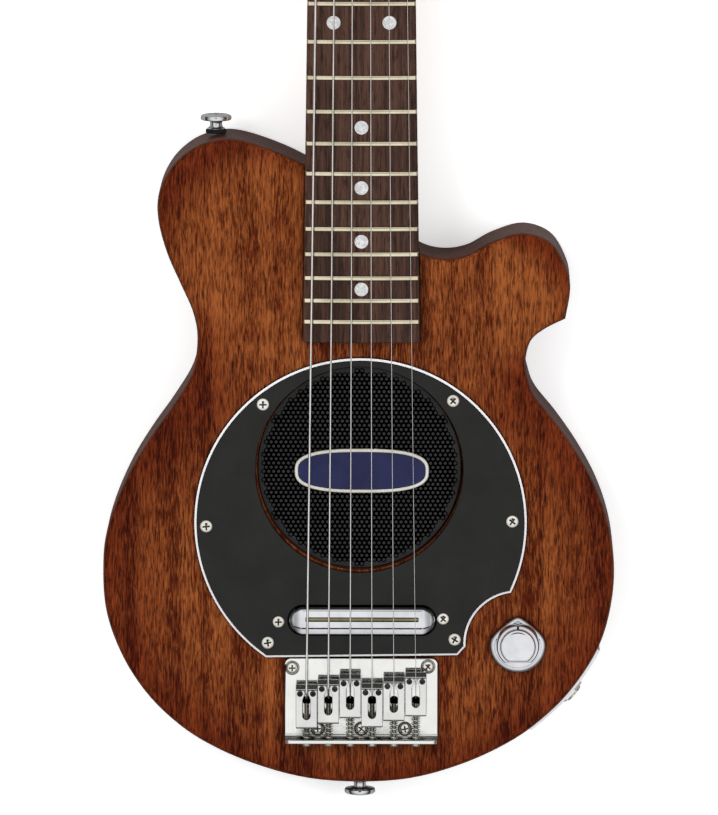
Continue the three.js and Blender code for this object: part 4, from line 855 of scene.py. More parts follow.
# Grille
# A disc of black-painted steel, pierced all over with fine holes in staggered rows and dropped
# into the seat over the speaker; a plain border is left round the rim.
grille_middle = Vector(speaker_middle)
grille_top = 38.1
grille_thickness = 1.2
grille_radius = 48.3
grille_sides = 120
hole_pitch = 2.34
hole_radius = 0.72
pierced_radius = 46.7
cell_corner = hole_pitch / math.sqrt(3)
rows = math.ceil(pierced_radius / (cell_corner * 1.5))
columns = math.ceil(pierced_radius / hole_pitch)
shortest_cell_edge = 0.45
grille_form = bmesh.new()
for row in range(-rows, rows + 1):
    for column in range(-columns, columns + 1):
        middle = Vector(((column + (row % 2) / 2) * hole_pitch, row * cell_corner * 1.5))
        if middle.length > pierced_radius:
            continue
        cell, hole = [], []
        for i in range(12):
            angle = math.pi / 6 * (i + 1)
            reach = cell_corner if i % 2 == 0 else hole_pitch / 2
            for ring, radius in ((cell, reach), (hole, hole_radius)):
                point = grille_middle + middle + Vector((math.cos(angle), math.sin(angle))) * radius
                ring.append(grille_form.verts.new(Vector((*point, grille_top)) * mm))
        for i in range(12):
            following = (i + 1) % 12
            grille_form.faces.new((cell[i], cell[following], hole[following], hole[i]))
bmesh.ops.remove_doubles(grille_form, verts=grille_form.verts, dist=0.01 * mm)
field_edge = [
    edge for edge in grille_form.edges if edge.is_boundary and all(
        ((vert.co / mm).xy - grille_middle).length > pierced_radius - hole_pitch / 2 for vert in edge.verts
    ) and edge.calc_length() > shortest_cell_edge * mm
]
rim = [grille_form.verts.new(Vector((*point, grille_top)) * mm)
       for point in round_line(*grille_middle, grille_radius, grille_sides)]
rim_edges = [grille_form.edges.new((rim[i - 1], rim[i])) for i in range(grille_sides)]
bmesh.ops.triangle_fill(grille_form, use_beauty=True, edges=field_edge + rim_edges)
bmesh.ops.recalc_face_normals(grille_form, faces=grille_form.faces)
pushed = bmesh.ops.extrude_face_region(grille_form, geom=list(grille_form.faces))
bmesh.ops.translate(grille_form, vec=Vector((0, 0, -grille_thickness * mm)), verts=[
    part for part in pushed["geom"] if isinstance(part, bmesh.types.BMVert)
])
grille = form_object("grille_steel", grille_form)
grille_paint = hard(
    "grille_paint", "2e2e2e", "262626", 0.5, smear=0.08, scratch=0.3, relief=0.01, grain=0.01,
)
finished(grille, [grille_paint], "speaker_grille", sharp=40)

# Badge
# A small cast plate, an oval with full corners and a raised rim, stuck on the middle of the grille
# and filled with dark enamel; its face is left plain.
badge_middle = (0.13, 97.6)
badge_reach = (32, 10.6)
badge_fullness = 0.72
badge_face = 38.95
badge_rings = [(0, grille_top - 0.2), (0, 38.9), (0.3, 39.3), (0.7, 39.4), (1.25, 39.3), (1.5, badge_face)]


def full_oval(middle, reach, fullness, sides):
    """An oval with fuller corners as an outline."""
    points = []
    for i in range(sides):
        angle = 2 * math.pi * i / sides
        points.append(Vector([
            center + length * math.copysign(abs(share) ** fullness, share)
            for center, length, share in zip(middle, reach, (math.cos(angle), math.sin(angle)))
        ]))
    return points


badge = solid("badge_plate", stacked(full_oval(badge_middle, badge_reach, badge_fullness, 96), badge_rings))
badge_rim = hard("badge_rim", "dcd9cf", "c9c5b8", 0.35, smear=0.1, scratch=0.4, relief=0.02)
badge_enamel = hard("badge_enamel", "23264f", "1b1e42", 0.25, smear=0.06, scratch=0.4, relief=0.01)
finished(badge, [badge_rim, badge_enamel], sharp=50)
for face in badge.data.polygons:
    enamelled = len(face.vertices) > 4 and face.center.z / mm > badge_face - 0.45
    face.material_index = 1 if enamelled else 0

# Pickguard
# Three-ply black, white and black plastic, 2.4 mm thick, with a bevelled edge that shows the white
# core; cut out for the speaker and the pickup and screwed down by six domed screws.
guard_middle = Vector((-0.4, 73.5))
guard_radius = 79.4
guard_low = 44.3
guard_top = 46.7
under_guard = 40
over_guard = 50
guard_bottom_bass = 8.25
guard_bottom_treble = 9.5
guard_corner = 3.9
guard_rings = [(0, 0), (0, 0.6), (0.15, 1.1), (1.15, 1.75), (1.5, 2.4)]
white_ply = (1.2, 1.9)
knob_middle = Vector(knob_place)
scallop_radius = 24.9
scallop_end = 13.8
speaker_hole_radius = 49.75
guard_screw_places = [
    (-46.9, 130.7), (43.65, 132.6), (-74.0, 71.9), (72.0, 74.5), (-44.7, 15.7), (44.6, 17.4),
]


def arc_points(middle, radius, start, stop, steps):
    """Points along an arc, from one angle to the other."""
    angles = [start + (stop - start) * i / steps for i in range(steps + 1)]
    return [middle + radius * Vector((math.cos(angle), math.sin(angle))) for angle in angles]


between_middles = knob_middle - guard_middle
reach = (between_middles.length ** 2 + guard_radius ** 2 - scallop_radius ** 2) / (
    2 * between_middles.length)
towards_knob = between_middles.normalized()
aside = math.sqrt(guard_radius ** 2 - reach ** 2)
meet = guard_middle + towards_knob * reach + Vector((-towards_knob.y, towards_knob.x)) * aside
guard_start = math.pi + math.asin((guard_middle.y - guard_bottom_bass) / guard_radius)
guard_stop = math.atan2(meet.y - guard_middle.y, meet.x - guard_middle.x)
scallop_start = math.atan2(meet.y - knob_middle.y, meet.x - knob_middle.x)
scallop_stop = math.pi + math.asin((knob_middle.y - scallop_end) / scallop_radius)
guard_outline = arc_points(guard_middle, guard_radius, guard_start, guard_stop, 160)
guard_outline += arc_points(knob_middle, scallop_radius, scallop_start, scallop_stop, 40)[1:]
guard_outline.append(Vector((guard_outline[-1].x - guard_corner, guard_bottom_treble)))
guard_outline.reverse()
guard = solid("pickguard_plies", stacked(
    guard_outline, [(inset, guard_low + height) for inset, height in guard_rings],
))
worked(guard, [
    block(round_line(*speaker_middle, speaker_hole_radius, 128), under_guard, over_guard),
    block(rounded_oblong(*pickup_middle, 71.6, 15, 7.49, 16), under_guard, over_guard),
])
guard_black = hard(
    "guard_black", "1f1f1e", "1b1b1a", 0.36, smear=0.07, scratch=0.7, relief=0.02, grain=0.015,
)
guard_white = hard("guard_white", "ffffff", "f8f6fb", 0.4, smear=0.08, scratch=0.3)
finished(guard, [guard_black, guard_white], "pickguard", sharp=30)
for face in guard.data.polygons:
    height = face.center.z / mm - guard_low
    face.material_index = 1 if white_ply[0] < height < white_ply[1] and face.normal.z > 0.3 else 0


def screw_pattern(radius, dome, recess):
    """One domed cross-head screw, standing on z = 0, as a pattern to copy."""
    profile = [(0, -0.4), (radius, -0.4), (radius, 0.25 * dome)]
    profile += [(radius * math.cos(a), dome * (0.25 + 0.75 * math.sin(a)))
                for a in (math.pi / 2 * i / 6 for i in range(1, 7))]
    arm, half = radius * 0.56, radius * 0.13
    cross = []
    for quarter in range(4):
        turn = Matrix.Rotation(quarter * math.pi / 2, 2)
        cross += [turn @ Vector(corner) for corner in ((arm, -half), (arm, half), (half, half))]
    pattern = solid("pattern", turned(profile, (0, 0, 0), sides=28), closed=False)
    worked(pattern, [block(cross, dome - recess, dome + 1)])
    # The recess's faces take the second material, a painted shade.
    for face in pattern.data.polygons:
        middle = face.center / mm
        face.material_index = 1 if middle.xy.length < arm and 0 < middle.z < 0.8 * dome else 0
    return pattern


screw_turn = 0.83
nickel = hard("nickel", "f4f2ea", "dedbd0", 0.14, 1, smear=0.08, scratch=0.6, relief=0.008)
# Painted shade: the cross recess takes a dark colour for the shade deep in its pointed hollow.
recess_painted_shade = hard("recess_painted_shade", "55524a", "3c3a34", 0.5, 1, smear=0.1, scratch=0.3)


def screws(name, radius, dome, recess, places, out):
    """One piece of like screws, each turned by another angle; out is one way for all or a list."""
    pattern = screw_pattern(radius, dome, recess)
    form = bmesh.new()
    for i, place in enumerate(places):
        facing = Vector(out[i] if isinstance(out, list) else out)
        start = len(form.verts)
        form.from_mesh(pattern.data)
        form.verts.ensure_lookup_table()
        turn = Vector((0, 0, 1)).rotation_difference(facing).to_matrix().to_4x4()
        bmesh.ops.transform(
            form, verts=form.verts[start:],
            matrix=Matrix.Translation(Vector(place) * mm) @ turn @ Matrix.Rotation(i * screw_turn, 4, "Z"),
        )
    bpy.data.objects.remove(pattern)
    finished(form_object(name, form), [nickel, recess_painted_shade], sharp=35)


face_up = (0, 0, 1)
screws("pickguard_screws", 3.2, 1.3, 0.9, [(x, y, guard_top) for x, y in guard_screw_places], face_up)

# Pickup
# A slim mini-humbucker under a polished chrome cover, its two steel blades showing through a slot
# in the crown; it hangs from the pickguard on two small screws.
pickup_x, pickup_y = pickup_middle
pickup_seat = 44.3
pickup_roof = 50
pickup_half_width = 6.7
dome_reach = 28.3
dome_wall = 2.4
dome_rise = 3.2
blade_line = (pickup_x, 27.65)
blade_gap = 0.27
pickup_section = [
    (-pickup_half_width, 0), (pickup_half_width, 0), (pickup_half_width, 4.4), (6.6, 5.3), (6.35, 6.1),
    (6, 6.65), (5.5, 6.95), (5, 7), (-2.8, 7), (-3, 6.93), (-3.6, 6.15), (-3.85, 6), (-5.9, 5.65),
    (-6.35, 5.3), (-6.6, 4.8), (-pickup_half_width, 4.2),
]
pickup_stations = [
    (-32.4, 0.72, 0.79), (-31.2, 0.86, 0.88), (-30.1, 0.95, 0.95), (-29.2, 0.99, 0.985), (-28.2, 1, 1),
]
pickup_stations += [(-x, across, rise) for x, across, rise in reversed(pickup_stations)]
pickup = solid("pickup_shell", [
    [(pickup_x + x, pickup_y + y * across, pickup_seat + z * rise) for y, z in pickup_section]
    for x, across, rise in pickup_stations
])
dome_profile = [(0, 0), (pickup_half_width, 0), (pickup_half_width, dome_wall)]
dome_profile += [
    (pickup_half_width * math.cos(a), dome_wall + dome_rise * math.sin(a))
    for a in (math.pi / 2 * i / 10 for i in range(1, 11))
]
worked(pickup, [
    solid("cutter", turned(
        dome_profile, (pickup_x + side * dome_reach, pickup_y, pickup_seat), sides=64,
    ), closed=False)
    for side in (-1, 1)
], "UNION")
worked(pickup, [
    block(rounded_oblong(*pickup_middle, 56.2, 11.2, 0.5, 2), under_guard, pickup_roof),
    block(rounded_oblong(*blade_line, 54, 2.2, 0.4, 3), under_guard, pickup_roof + 10),
])
chrome = hard("chrome", "e4e5e8", "cfd1d5", 0.07, 1, smear=0.04, scratch=0.35, relief=0.004)
finished(pickup, [chrome], "pickup_cover", soften=0.12, sharp=35)
coil_block = solid(
    "pickup_coil",
    prism(rounded_oblong(*pickup_middle, 88, 12, 5.9), 42.4, 44),
    prism(rounded_oblong(*pickup_middle, 54, 9.8, 1), 31.4, 42.4),
    prism(rounded_oblong(*blade_line, 54, 6.8, 0.6), 44, 47.8),
)
coil_tape = hard("coil_tape", "1d1c1b", "121110", 0.55, smear=0.1, scratch=0.2, relief=0.03)
finished(coil_block, [coil_tape], "pickup_core", soften=0.3)
blades = solid("pickup_blades", *[
    prism(rounded_oblong(blade_line[0], blade_line[1] + side * blade_gap, 53.4, 0.5, 0.15, 2), 43, 50.8)
    for side in (-1, 1)
])
brass_steel = hard("brass_steel", "9d9470", "77704f", 0.35, 1, smear=0.08, scratch=0.6, relief=0.01)
finished(blades, [brass_steel], "pickup_core")
screws("pickup_screws", 3.0, 1.2, 0.8, [(-39.6, 25.8, guard_top), (39.1, 27.4, guard_top)], face_up)

# Bridge
# Chromed steel plate, 2 mm thick, bent up at the tail into a lip; five screws hold it down and six
# long threaded screws through the lip set the saddles' places.
bridge_width = 73.1
bridge_low = 44.3
bridge_top = 46.3
under_bridge = 40
over_bridge = 50
lip_front = -30.4
lip_back = -32.2
lip_top = 53.9
long_screw_z = 50.3
long_screw_end = 19.2
thread_pitch = 0.5
bridge_screw_seat = 45.9
bridge_screw_places = [(-33, 3.45), (31.9, 4.2), (-20.88, -26), (0, -26), (20.88, -26)]
bridge_outline = rounded_oblong(0, -15.1, bridge_width, 46.2, 3, 8)
bridge_side = [
    (8, bridge_low), (8, bridge_top), (-28.4, bridge_top), (-29.2, 46.45), (-29.9, 46.9), (-30.3, 47.6),
    (lip_front, 48.3), (lip_front, lip_top), (lip_back, lip_top), (lip_back, 46.6), (-32, 45.7),
    (-31.5, 44.9), (-30.8, 44.45), (-30, bridge_low),
]
lip_corner = [(36.55, 50.9), (36.35, 52.1), (35.67, 53.02), (34.7, 53.65), (33.55, lip_top)]
lip_view = [(side * bridge_width / 2, under_bridge) for side in (-1, 1)] + lip_corner
lip_view += [(-x, z) for x, z in reversed(lip_corner)]


def pin(place, out, radius, length, sides=24, name="cutter"):
    """A round or many-sided bar that cuts a hole or adds a boss."""
    return solid(name, turned([(radius, 0), (radius, length)], place, out, sides))


plate = side_cut(bridge_side, bridge_width, name="bridge_base")
worked(plate, [
    solid("cutter", [[(x, y, z) for x, z in lip_view] for y in (lip_back - 7.8, 20)]),
    block(bridge_outline, under_bridge, over_bridge + 10),
], "INTERSECT")
worked(plate, [
    *[block(round_line(x, string_hole_y, 2, 20), under_bridge, over_bridge) for x in string_places],
    *[pin((x, lip_back - 3.8, long_screw_z), (0, 1, 0), 1.5, 10) for x in string_places],
    *[block(round_line(x, y, 3.35, 32), bridge_screw_seat - 0.4, 48) for x, y in bridge_screw_places],
])
bridge_chrome = hard("bridge_chrome", "f1f1ee", "e9e9e6", 0.12, 1, smear=0.04, scratch=0.5, relief=0.005)
# Painted shade and reflection: the plate is darker under and beside the saddles, wherever pieces stand
# close over it.
shaded_corners(bridge_chrome, 8, 0.28, 0.5, "3a3a36")
finished(plate, [bridge_chrome], "bridge_plate", soften=0.28, clamp=False)
long_screw = [(0, -1.8), (1.7, -1.75), (2.35, -1.3), (2.5, -0.8), (2.5, 0), (1.2, 0.02)]
for turn in range(37):
    long_screw += [(1.02, 0.4 + turn * thread_pitch), (1.25, 0.65 + turn * thread_pitch)]
long_screw += [(0.9, long_screw_end), (0, long_screw_end)]
threads = solid("intonation_screws", *[
    turned(long_screw, (x, lip_back, long_screw_z), (0, 1, 0), 16) for x in string_places
], closed=False)
screw_slot = [(-34.5, 49.9), (-33.4, 49.9), (-33.4, 50.7), (-34.5, 50.7)]
worked(threads, [side_cut(screw_slot, 3.4, x) for x in string_places])
screw_steel = hard("screw_steel", "c9c7bf", "a5a298", 0.25, 1, smear=0.1, scratch=0.6, relief=0.01)
finished(threads, [screw_steel], "bridge_plate", sharp=40)
screws("bridge_screws", 2.85, 1.5, 0.9, [
    (x, y, bridge_screw_seat) for x, y in bridge_screw_places
], face_up)

# Saddles
# Six bent sheet-steel saddles with a rounded ridge under the string and a pointed slot behind it;
# each has two small socket screws for its height and slides when its long screw is turned.
string_gauges = [1.17, 0.91, 0.66, 0.43, 0.33, 0.25]
saddle_fronts = [-1.4, 1.1, 3.9, -0.5, 2.5, 4.7]
saddle_length = 23.6
saddle_width = 10.14
saddle_foot = 48.5
sheet_thickness = 1.6
ridge_z = 56.7
ridge_play = 0.3
ridge_to_flat = 1
nut_spacing = 7.16
nut_places = [(i - 2.5) * nut_spacing for i in range(6)]
string_z_at_bridge = 56.68
string_z_at_nut = 53.2
slot_half_width = 1.85
saddle_screw_hole = 1.4
grub_half_spacing = 3.1
grub_hole = 1.3
grub_radius = 1.25
grub_foot = 46.6
hex_key = 0.72


def string_rise(number, y):
    """Height of a string's middle over the body's back, anywhere from saddle to nut."""
    low = string_z_at_bridge - crown_drop(string_places[number])
    high = string_z_at_nut - crown_drop(nut_places[number])
    return low + (high - low) * y / scale_length


def eased(points, radii, closed=True, steps=5):
    """A line of points with each corner rounded by its own radius."""
    made = []
    for i, point in enumerate(points):
        if radii[i] == 0 or (not closed and i in (0, len(points) - 1)):
            made.append(Vector(point))
            continue
        here = Vector(point)
        before = (Vector(points[i - 1]) - here).normalized() * radii[i]
        after = (Vector(points[(i + 1) % len(points)]) - here).normalized() * radii[i]
        for step in range(steps + 1):
            t = step / steps
            made.append(here + before * (1 - t) ** 2 + after * t ** 2)
    return made


saddle_chrome = hard("saddle_chrome", "e6e7e4", "d9dad7", 0.1, 1, smear=0.06, scratch=0.5, relief=0.006)
socket_steel = hard("socket_steel", "4a4a4c", "2f2f31", 0.35, 1, smear=0.1, scratch=0.5, relief=0.01)
for number, (front, x) in enumerate(zip(saddle_fronts, string_places)):
    ridge = ridge_z - crown_drop(x) - string_gauges[number] / 2 - ridge_play
    flat, rear = ridge - ridge_to_flat, front - saddle_length
    under, inside = flat - sheet_thickness, rear + sheet_thickness
    wall_front, wall_back, ridge_y = front - 2.1, front - 3.4, front - 4.3
    bends = [
        ((wall_front, saddle_foot), 0), ((wall_front, ridge - 2.5), 0.3), ((ridge_y, ridge), 0.4),
        ((front - 5, flat), 0), ((rear, flat), 1.7), ((rear, saddle_foot), 0), ((inside, saddle_foot), 0),
        ((inside, under), 0.9), ((ridge_y, under), 0.5), ((wall_back, ridge - 4), 0.5),
        ((wall_back, saddle_foot), 0),
    ]
    side_view = eased([point for point, _ in bends], [radius for _, radius in bends])
    sheet = side_cut(side_view, saddle_width, x, f"saddle_{number + 1}_sheet")
    start, end = front - 5.2, front - 17.3
    throat = [
        (0.7, start), (0.8, start - 1), (1, start - 1.8), (1.45, start - 3), (slot_half_width, start - 4.2),
    ]
    slot = [(-across, y) for across, y in throat]
    slot += arc_points(Vector((0, end)), slot_half_width, math.pi, 2 * math.pi, 12)
    slot += throat[::-1]
    grub_places = [(x + side * grub_half_spacing, front - 6.5) for side in (-1, 1)]
    worked(sheet, [
        block([Vector((x + across, y)) for across, y in slot], flat - 3, flat + 3),
        pin((x, rear - 2, long_screw_z), (0, 1, 0), saddle_screw_hole, 5),
        *[block(round_line(*place, grub_hole, 20), flat - 3, flat + 3) for place in grub_places],
    ])
    rides_on = f"saddle_{number + 1}"
    finished(sheet, [saddle_chrome], rides_on, rides_on, soften=0.22, sharp=34, clamp=False)
    grub_profile = [
        (0, grub_foot), (0.8, grub_foot), (grub_radius, 47), (grub_radius, flat + 0.2), (1.05, flat + 0.4),
        (0, flat + 0.4),
    ]
    grubs = solid(f"saddle_{number + 1}_height_screws", *[
        turned(grub_profile, (*place, 0), sides=22) for place in grub_places
    ], closed=False)
    worked(grubs, [pin((*place, flat - 0.9), (0, 0, 1), hex_key, 3, 6) for place in grub_places])
    finished(grubs, [socket_steel], rides_on, rides_on, sharp=40)

# Springs
# A coil of steel wire round each long screw pushes its saddle away from the lip; it is squeezed and
# let out as the saddle slides.
spring_start = -29.85
spring_gap = 0.55
spring_pitch = 1.9
spring_radius = 1.95
spring_wire = 0.25


def swept(path, radius, sides=12):
    """Rings of a round bar along a path."""
    rings, side = [], None
    for i, place in enumerate(path):
        ahead = path[min(i + 1, len(path) - 1)] - place
        behind = place - path[max(i - 1, 0)]
        along = (ahead.normalized() + behind.normalized()).normalized()
        side = along.orthogonal() if side is None else side - along * side.dot(along)
        side.normalize()
        other = along.cross(side)
        rings.append([place + (side * point.x + other * point.y)
                      for point in round_line(0, 0, radius, sides)])
    return rings


spring_steel = hard("spring_steel", "f0f0ee", "d6d6d2", 0.2, 1, smear=0.06, scratch=0.4, relief=0.006)
for number, (front, x) in enumerate(zip(saddle_fronts, string_places)):
    saddle_rear = front - saddle_length
    spring_length = saddle_rear - spring_gap - spring_start
    steps = 24 * max(1, math.floor(spring_length / spring_pitch))
    coil = [Vector((
        x + spring_radius * math.cos(math.pi * i / 12), spring_start + spring_length * i / steps,
        long_screw_z + spring_radius * math.sin(math.pi * i / 12),
    )) for i in range(steps + 1)]
    spring = solid(f"spring_wire_{number + 1}", swept(coil, spring_wire, 8))
    finished(spring, [spring_steel], f"intonation_spring_{number + 1}", None, sharp=40)
    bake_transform(spring)

# Strings
# Six nickel-wound and plain steel strings: from the block at the back, up through the body and
# over their saddles and the nut, then wound down round their posts.
string_bend = 6.1
string_share = 0.48
post_radius = 3.3
winding_z = 51.9
winding_steps = 48
winding_end = 84


def string_steel(name, color, shade, wound):
    """Bright steel wire; a wound string has the fine ridges of its wrap across it."""
    made = hard(name, color, shade, 0.26, 1, smear=0.06, scratch=0.3, relief=0.006)
    if not wound:
        return made
    tree = made.node_tree
    shader = tree.nodes["Principled BSDF"]
    smooth = shader.inputs["Normal"].links[0].from_socket
    wrap = node(tree, "TexWave", {
        "Vector": node(tree, "TexCoord").outputs["Object"], "Scale": 900.0, "Distortion": 0.4,
    }, bands_direction="Y")
    ridged = node(tree, "Bump", {
        "Strength": 0.5, "Distance": 0.02 * mm, "Height": wrap.outputs["Color"], "Normal": smooth,
    })
    tree.links.new(ridged.outputs[0], shader.inputs["Normal"])
    return made


wound_wire = string_steel("wound_wire", "f6f4f0", "e2e0dc", True)
plain_wire = string_steel("plain_wire", "fdfcfa", "ecebe8", False)
for number, (gauge, x) in enumerate(zip(string_gauges, string_places)):
    bend = saddle_fronts[number] - string_bend
    post_x, post_y = post_places[number]
    side = -1 if number < 3 else 1
    nut_x = nut_places[number]
    nut_z = string_rise(number, scale_length)
    radius = post_radius + gauge / 2
    reach = Vector((post_x - nut_x, post_y - nut_back))
    start = math.atan2(reach.y, reach.x) + side * math.acos(-radius / reach.length)
    path = eased([
        (x, ferrule_y, 2), (x, ferrule_y, 47), (x, bend, string_rise(number, bend)),
        (nut_x, scale_length, nut_z), (nut_x, nut_back, nut_z),
        (post_x + radius * math.cos(start), post_y + radius * math.sin(start), winding_z),
    ], [0, 1.2, 1.5, 0.8, 0.8, 0], closed=False)
    for i in range(1, winding_end + 1):
        angle = start - side * 2 * math.pi * i / winding_steps
        path.append(Vector((
            post_x + radius * math.cos(angle), post_y + radius * math.sin(angle),
            winding_z - (gauge + 0.45) * i / winding_steps,
        )))
    wire = solid(f"string_wire_{number + 1}", swept(path, string_share * gauge, 14))
    finished(wire, [wound_wire if number < 3 else plain_wire], f"string_{number + 1}", sharp=50)

# Ferrule block
# A nickel-plated bar let into the back; each string is threaded through it and its brass ball
# end stops in the countersunk hole.
ball_radius = 1.35
ball_z = 2.05
countersink = [(0, -0.5), (2.7, -0.5), (2.7, 0.4), (1.5, 1.9), (1.5, 7), (0, 7)]
ball_profile = [(0, ball_z - ball_radius)]
ball_profile += [(ball_radius * math.cos(a), ball_z + ball_radius * math.sin(a))
                 for a in (math.pi * (i / 8 - 0.5) for i in range(1, 8))]
ball_profile.append((0, ball_z + ball_radius))
ferrule_bar = block(rounded_oblong(0, ferrule_y, 62, 8, 3.5, 10), 0.3, 6.3, 0.35, "ferrule_bar")
worked(ferrule_bar, [
    solid("cutter", turned(countersink, (x, ferrule_y, 0), sides=28), closed=False) for x in string_places
])
finished(ferrule_bar, [nickel], "ferrule_block", sharp=30)
ball_ends = solid("ball_ends", *[
    turned(ball_profile, (x, ferrule_y, 0), sides=20) for x in string_places
], closed=False)
brass = hard("brass", "c8a24e", "a17f38", 0.25, 1, scratch=0.5)
finished(ball_ends, [brass], sharp=50)

# Tuners
# Six sealed machine heads, three to a side: a die-cast housing behind the headstock, a hex bushing
# in front, the post that takes the string, and an oval button on its worm shaft.
case_low = 16.6
case_high = 27.1
hex_nut_radius = 7.2
post_bore_floor = 18.4
post_bore_radius = 3.1
worm_bore_radius = 2.6
string_eye_radius = 0.9
worm_y = -6.6
worm_z = 21.85
grip_start = 28.5
grip_base = 16.7
grip_flatness = 0.45
bushing_profile = [
    (0, 26), (4.7, 26), (4.7, 41.6), (8.4, 41.6), (8.4, 42), (8.2, 42.2), (4.7, 42.2), (4.7, 43.9),
    (4.2, 44.2), (0, 44.2),
]
collar_profile = [(0, 0), (3.9, 0), (3.9, 1.7), (3.5, 2.1), (0, 2.1)]
post_profile = [
    (0, 18.7), (3, 18.7), (3, 49.4), (2.72, 50.1), (2.6, 51), (2.6, 52.4), (2.8, 53.1), (3, 53.6),
    (3, 54), (2.7, 54.4), (2.2, 54.5), (0, 54.5),
]
shaft_profile = [(0, 0), (2.5, 0), (2.5, 14.1), (3.4, 14.1), (3.6, 14.3), (3.6, 16.3)]
grip_profile = [
    (3.3, grip_base), (4.4, 17.3), (6.6, 18.1), (8.4, 19.2), (9.5, 20.7), (9.95, 22.5), (9.95, 24),
    (9.6, 26.2), (8.6, 27.9), (6.8, 28.8), (4, 29.1), (0, 29.1),
]
button_profile = [Vector(point) for point in shaft_profile] + bent_line(grip_profile, 3)


def tuner_grip(name, side, y):
    """The button on its shaft: turned, then pressed flat beyond the shaft."""
    form = bmesh.new()
    skinned(form, turned(button_profile, (0, 0, 0), sides=56), closed=False)
    for vert in form.verts:
        share = min(max((vert.co.z / mm - grip_base) / 3, 0), 1)
        vert.co.x *= 1 + (grip_flatness - 1) * share * share * (3 - 2 * share)
    place = Matrix.Translation(Vector((side * grip_start, y + worm_y, worm_z)) * mm)
    turn = Matrix.Rotation(side * math.pi / 2, 4, "Y")
    bmesh.ops.transform(form, verts=form.verts, matrix=place @ turn)
    return form_object(name, form)


tuner_chrome = hard("tuner_chrome", "dcdde0", "c2c4c8", 0.1, 1, smear=0.06, scratch=0.5, relief=0.006)
for number, (x, y) in enumerate(post_places):
    side = -1 if number < 3 else 1
    outwards = (side, 0, 0)
    case_outline = rounded_oblong(x + 1.5 * side, y - 2, 20, 21, 4.2, 8)
    case = block(case_outline, case_low, case_high, 1.4, f"tuner_case_{number + 1}")
    worked(case, [
        solid("cutter", turned(bushing_profile, (x, y, 0), sides=50), closed=False),
        solid("cutter", turned(
            collar_profile, (x + 11.4 * side, y + worm_y, worm_z), outwards,
        ), closed=False),
        block(round_line(x, y, hex_nut_radius, 6), 41.9, 43.6),
    ], "UNION")
    worked(case, [
        pin((x, y, post_bore_floor), (0, 0, 1), post_bore_radius, 30, 32),
        pin((x - 3 * side, y + worm_y, worm_z), outwards, worm_bore_radius, 30),
    ])
    finished(case, [tuner_chrome], f"tuner_housing_{number + 1}", soften=0.25, sharp=34)
    post = solid(f"tuner_shaft_{number + 1}", turned(post_profile, (x, y, 0)), closed=False)
    worked(post, [pin((x, y - 6, winding_z + 0.1), (0, 1, 0), string_eye_radius, 12, 16)])
    rides_on = f"tuner_post_{number + 1}"
    finished(post, [tuner_chrome], rides_on, rides_on, sharp=34)
    rides_on = f"tuner_button_{number + 1}"
    grip = tuner_grip(f"tuner_grip_{number + 1}", side, y)
    finished(grip, [tuner_chrome], rides_on, rides_on, sharp=40)

# Volume control
# A pot under the face, held by its threaded bushing and nut, and a cast metal knob, chromed: a
# pointed flange, a raised crown with a plain top, and a short black line at the tip.
knob_low = 44.6
knob_sides = 144
flange_radius = 13.3
point_rise = 1.2
shoulder_reach = 11.4
shoulder_aside = 0.64
shoulder_ahead = 0.768
rounding_power = 10
shaft_share = 3 / flange_radius
flange_rings = [
    (0.7, 5), (0.7, 0), (0.97, 0), (0.985, 0.1), (1, 0.5), (1, 2.6), (0.99, 3.1), (0.96, 3.5),
    (0.9, 3.8), (0.86, 3.9), (0.84, 3.8), (0.83, 3.4),
]
crown_rings = [
    (0.8, 3.4, -8.2), (0.79, 3.9, -8.1), (0.765, 7.8, -7.9), (0.75, 8.4, -7.8), (0.72, 8.7, -7.6),
    (0.685, 8.7, -7.3), (0.675, 8.3, -7.25), (0.655, 8.3, -7.05), (0.645, 9.6, -7), (0.63, 10.4, -6.9),
    (0.605, 10.9, -6.7), (0.57, 11.15, -6.4), (0.5, 11.25, -5.7), (0.3, 11.3, -3.6), (0, 11.3, 0),
]


def flange_reach(angle):
    """How far the flange reaches this way: a circle with two slanted flanks that meet at +Y."""
    total = (flange_radius + point_rise * max(math.sin(angle), 0) ** 4) ** -rounding_power
    for side in (-1, 1):
        facing = shoulder_aside * side * math.cos(angle) + shoulder_ahead * math.sin(angle)
        if facing > 0.05:
            total += (shoulder_reach / facing) ** -rounding_power
    return total ** (-1 / rounding_power)


def knob_ring(share, height, flat_below=None, pointed=False):
    """A ring of the knob: round, or pointed like its flange, or cut flat on its lower side."""
    ring = []
    for i in range(knob_sides):
        angle = 2 * math.pi * i / knob_sides
        radius = share * (flange_reach(angle) if pointed else flange_radius)
        x, y = radius * math.cos(angle), radius * math.sin(angle)
        if flat_below is not None:
            y = max(y, flat_below)
        ring.append((knob_middle.x + x, knob_middle.y + y, knob_low + height))
    return ring


pot_steel = hard("pot_steel", "a9a9a6", "83837f", 0.35, 1, smear=0.1, scratch=0.5, relief=0.01)
refined("volume_pot", pot_steel, soften=0.15)
knob = solid(
    "knob_cap", [knob_ring(shaft_share, height) for height in (-14.9, 5)]
    + [knob_ring(*ring, pointed=True) for ring in flange_rings]
    + [knob_ring(*ring) for ring in crown_rings],
)
finished(knob, [chrome], "volume_knob", "volume_knob", sharp=28)
pointer = solid("knob_pointer", [
    [(*point, knob_low + height)
     for point in rounded_oblong(knob_middle.x, knob_middle.y + 8.9, width, 1.9, 0.35, 3)]
    for height, width in ((7, 1.1), (8.82, 1.1), (8.9, 0.9))
])
finished(pointer, [guard_black], body="volume_knob")

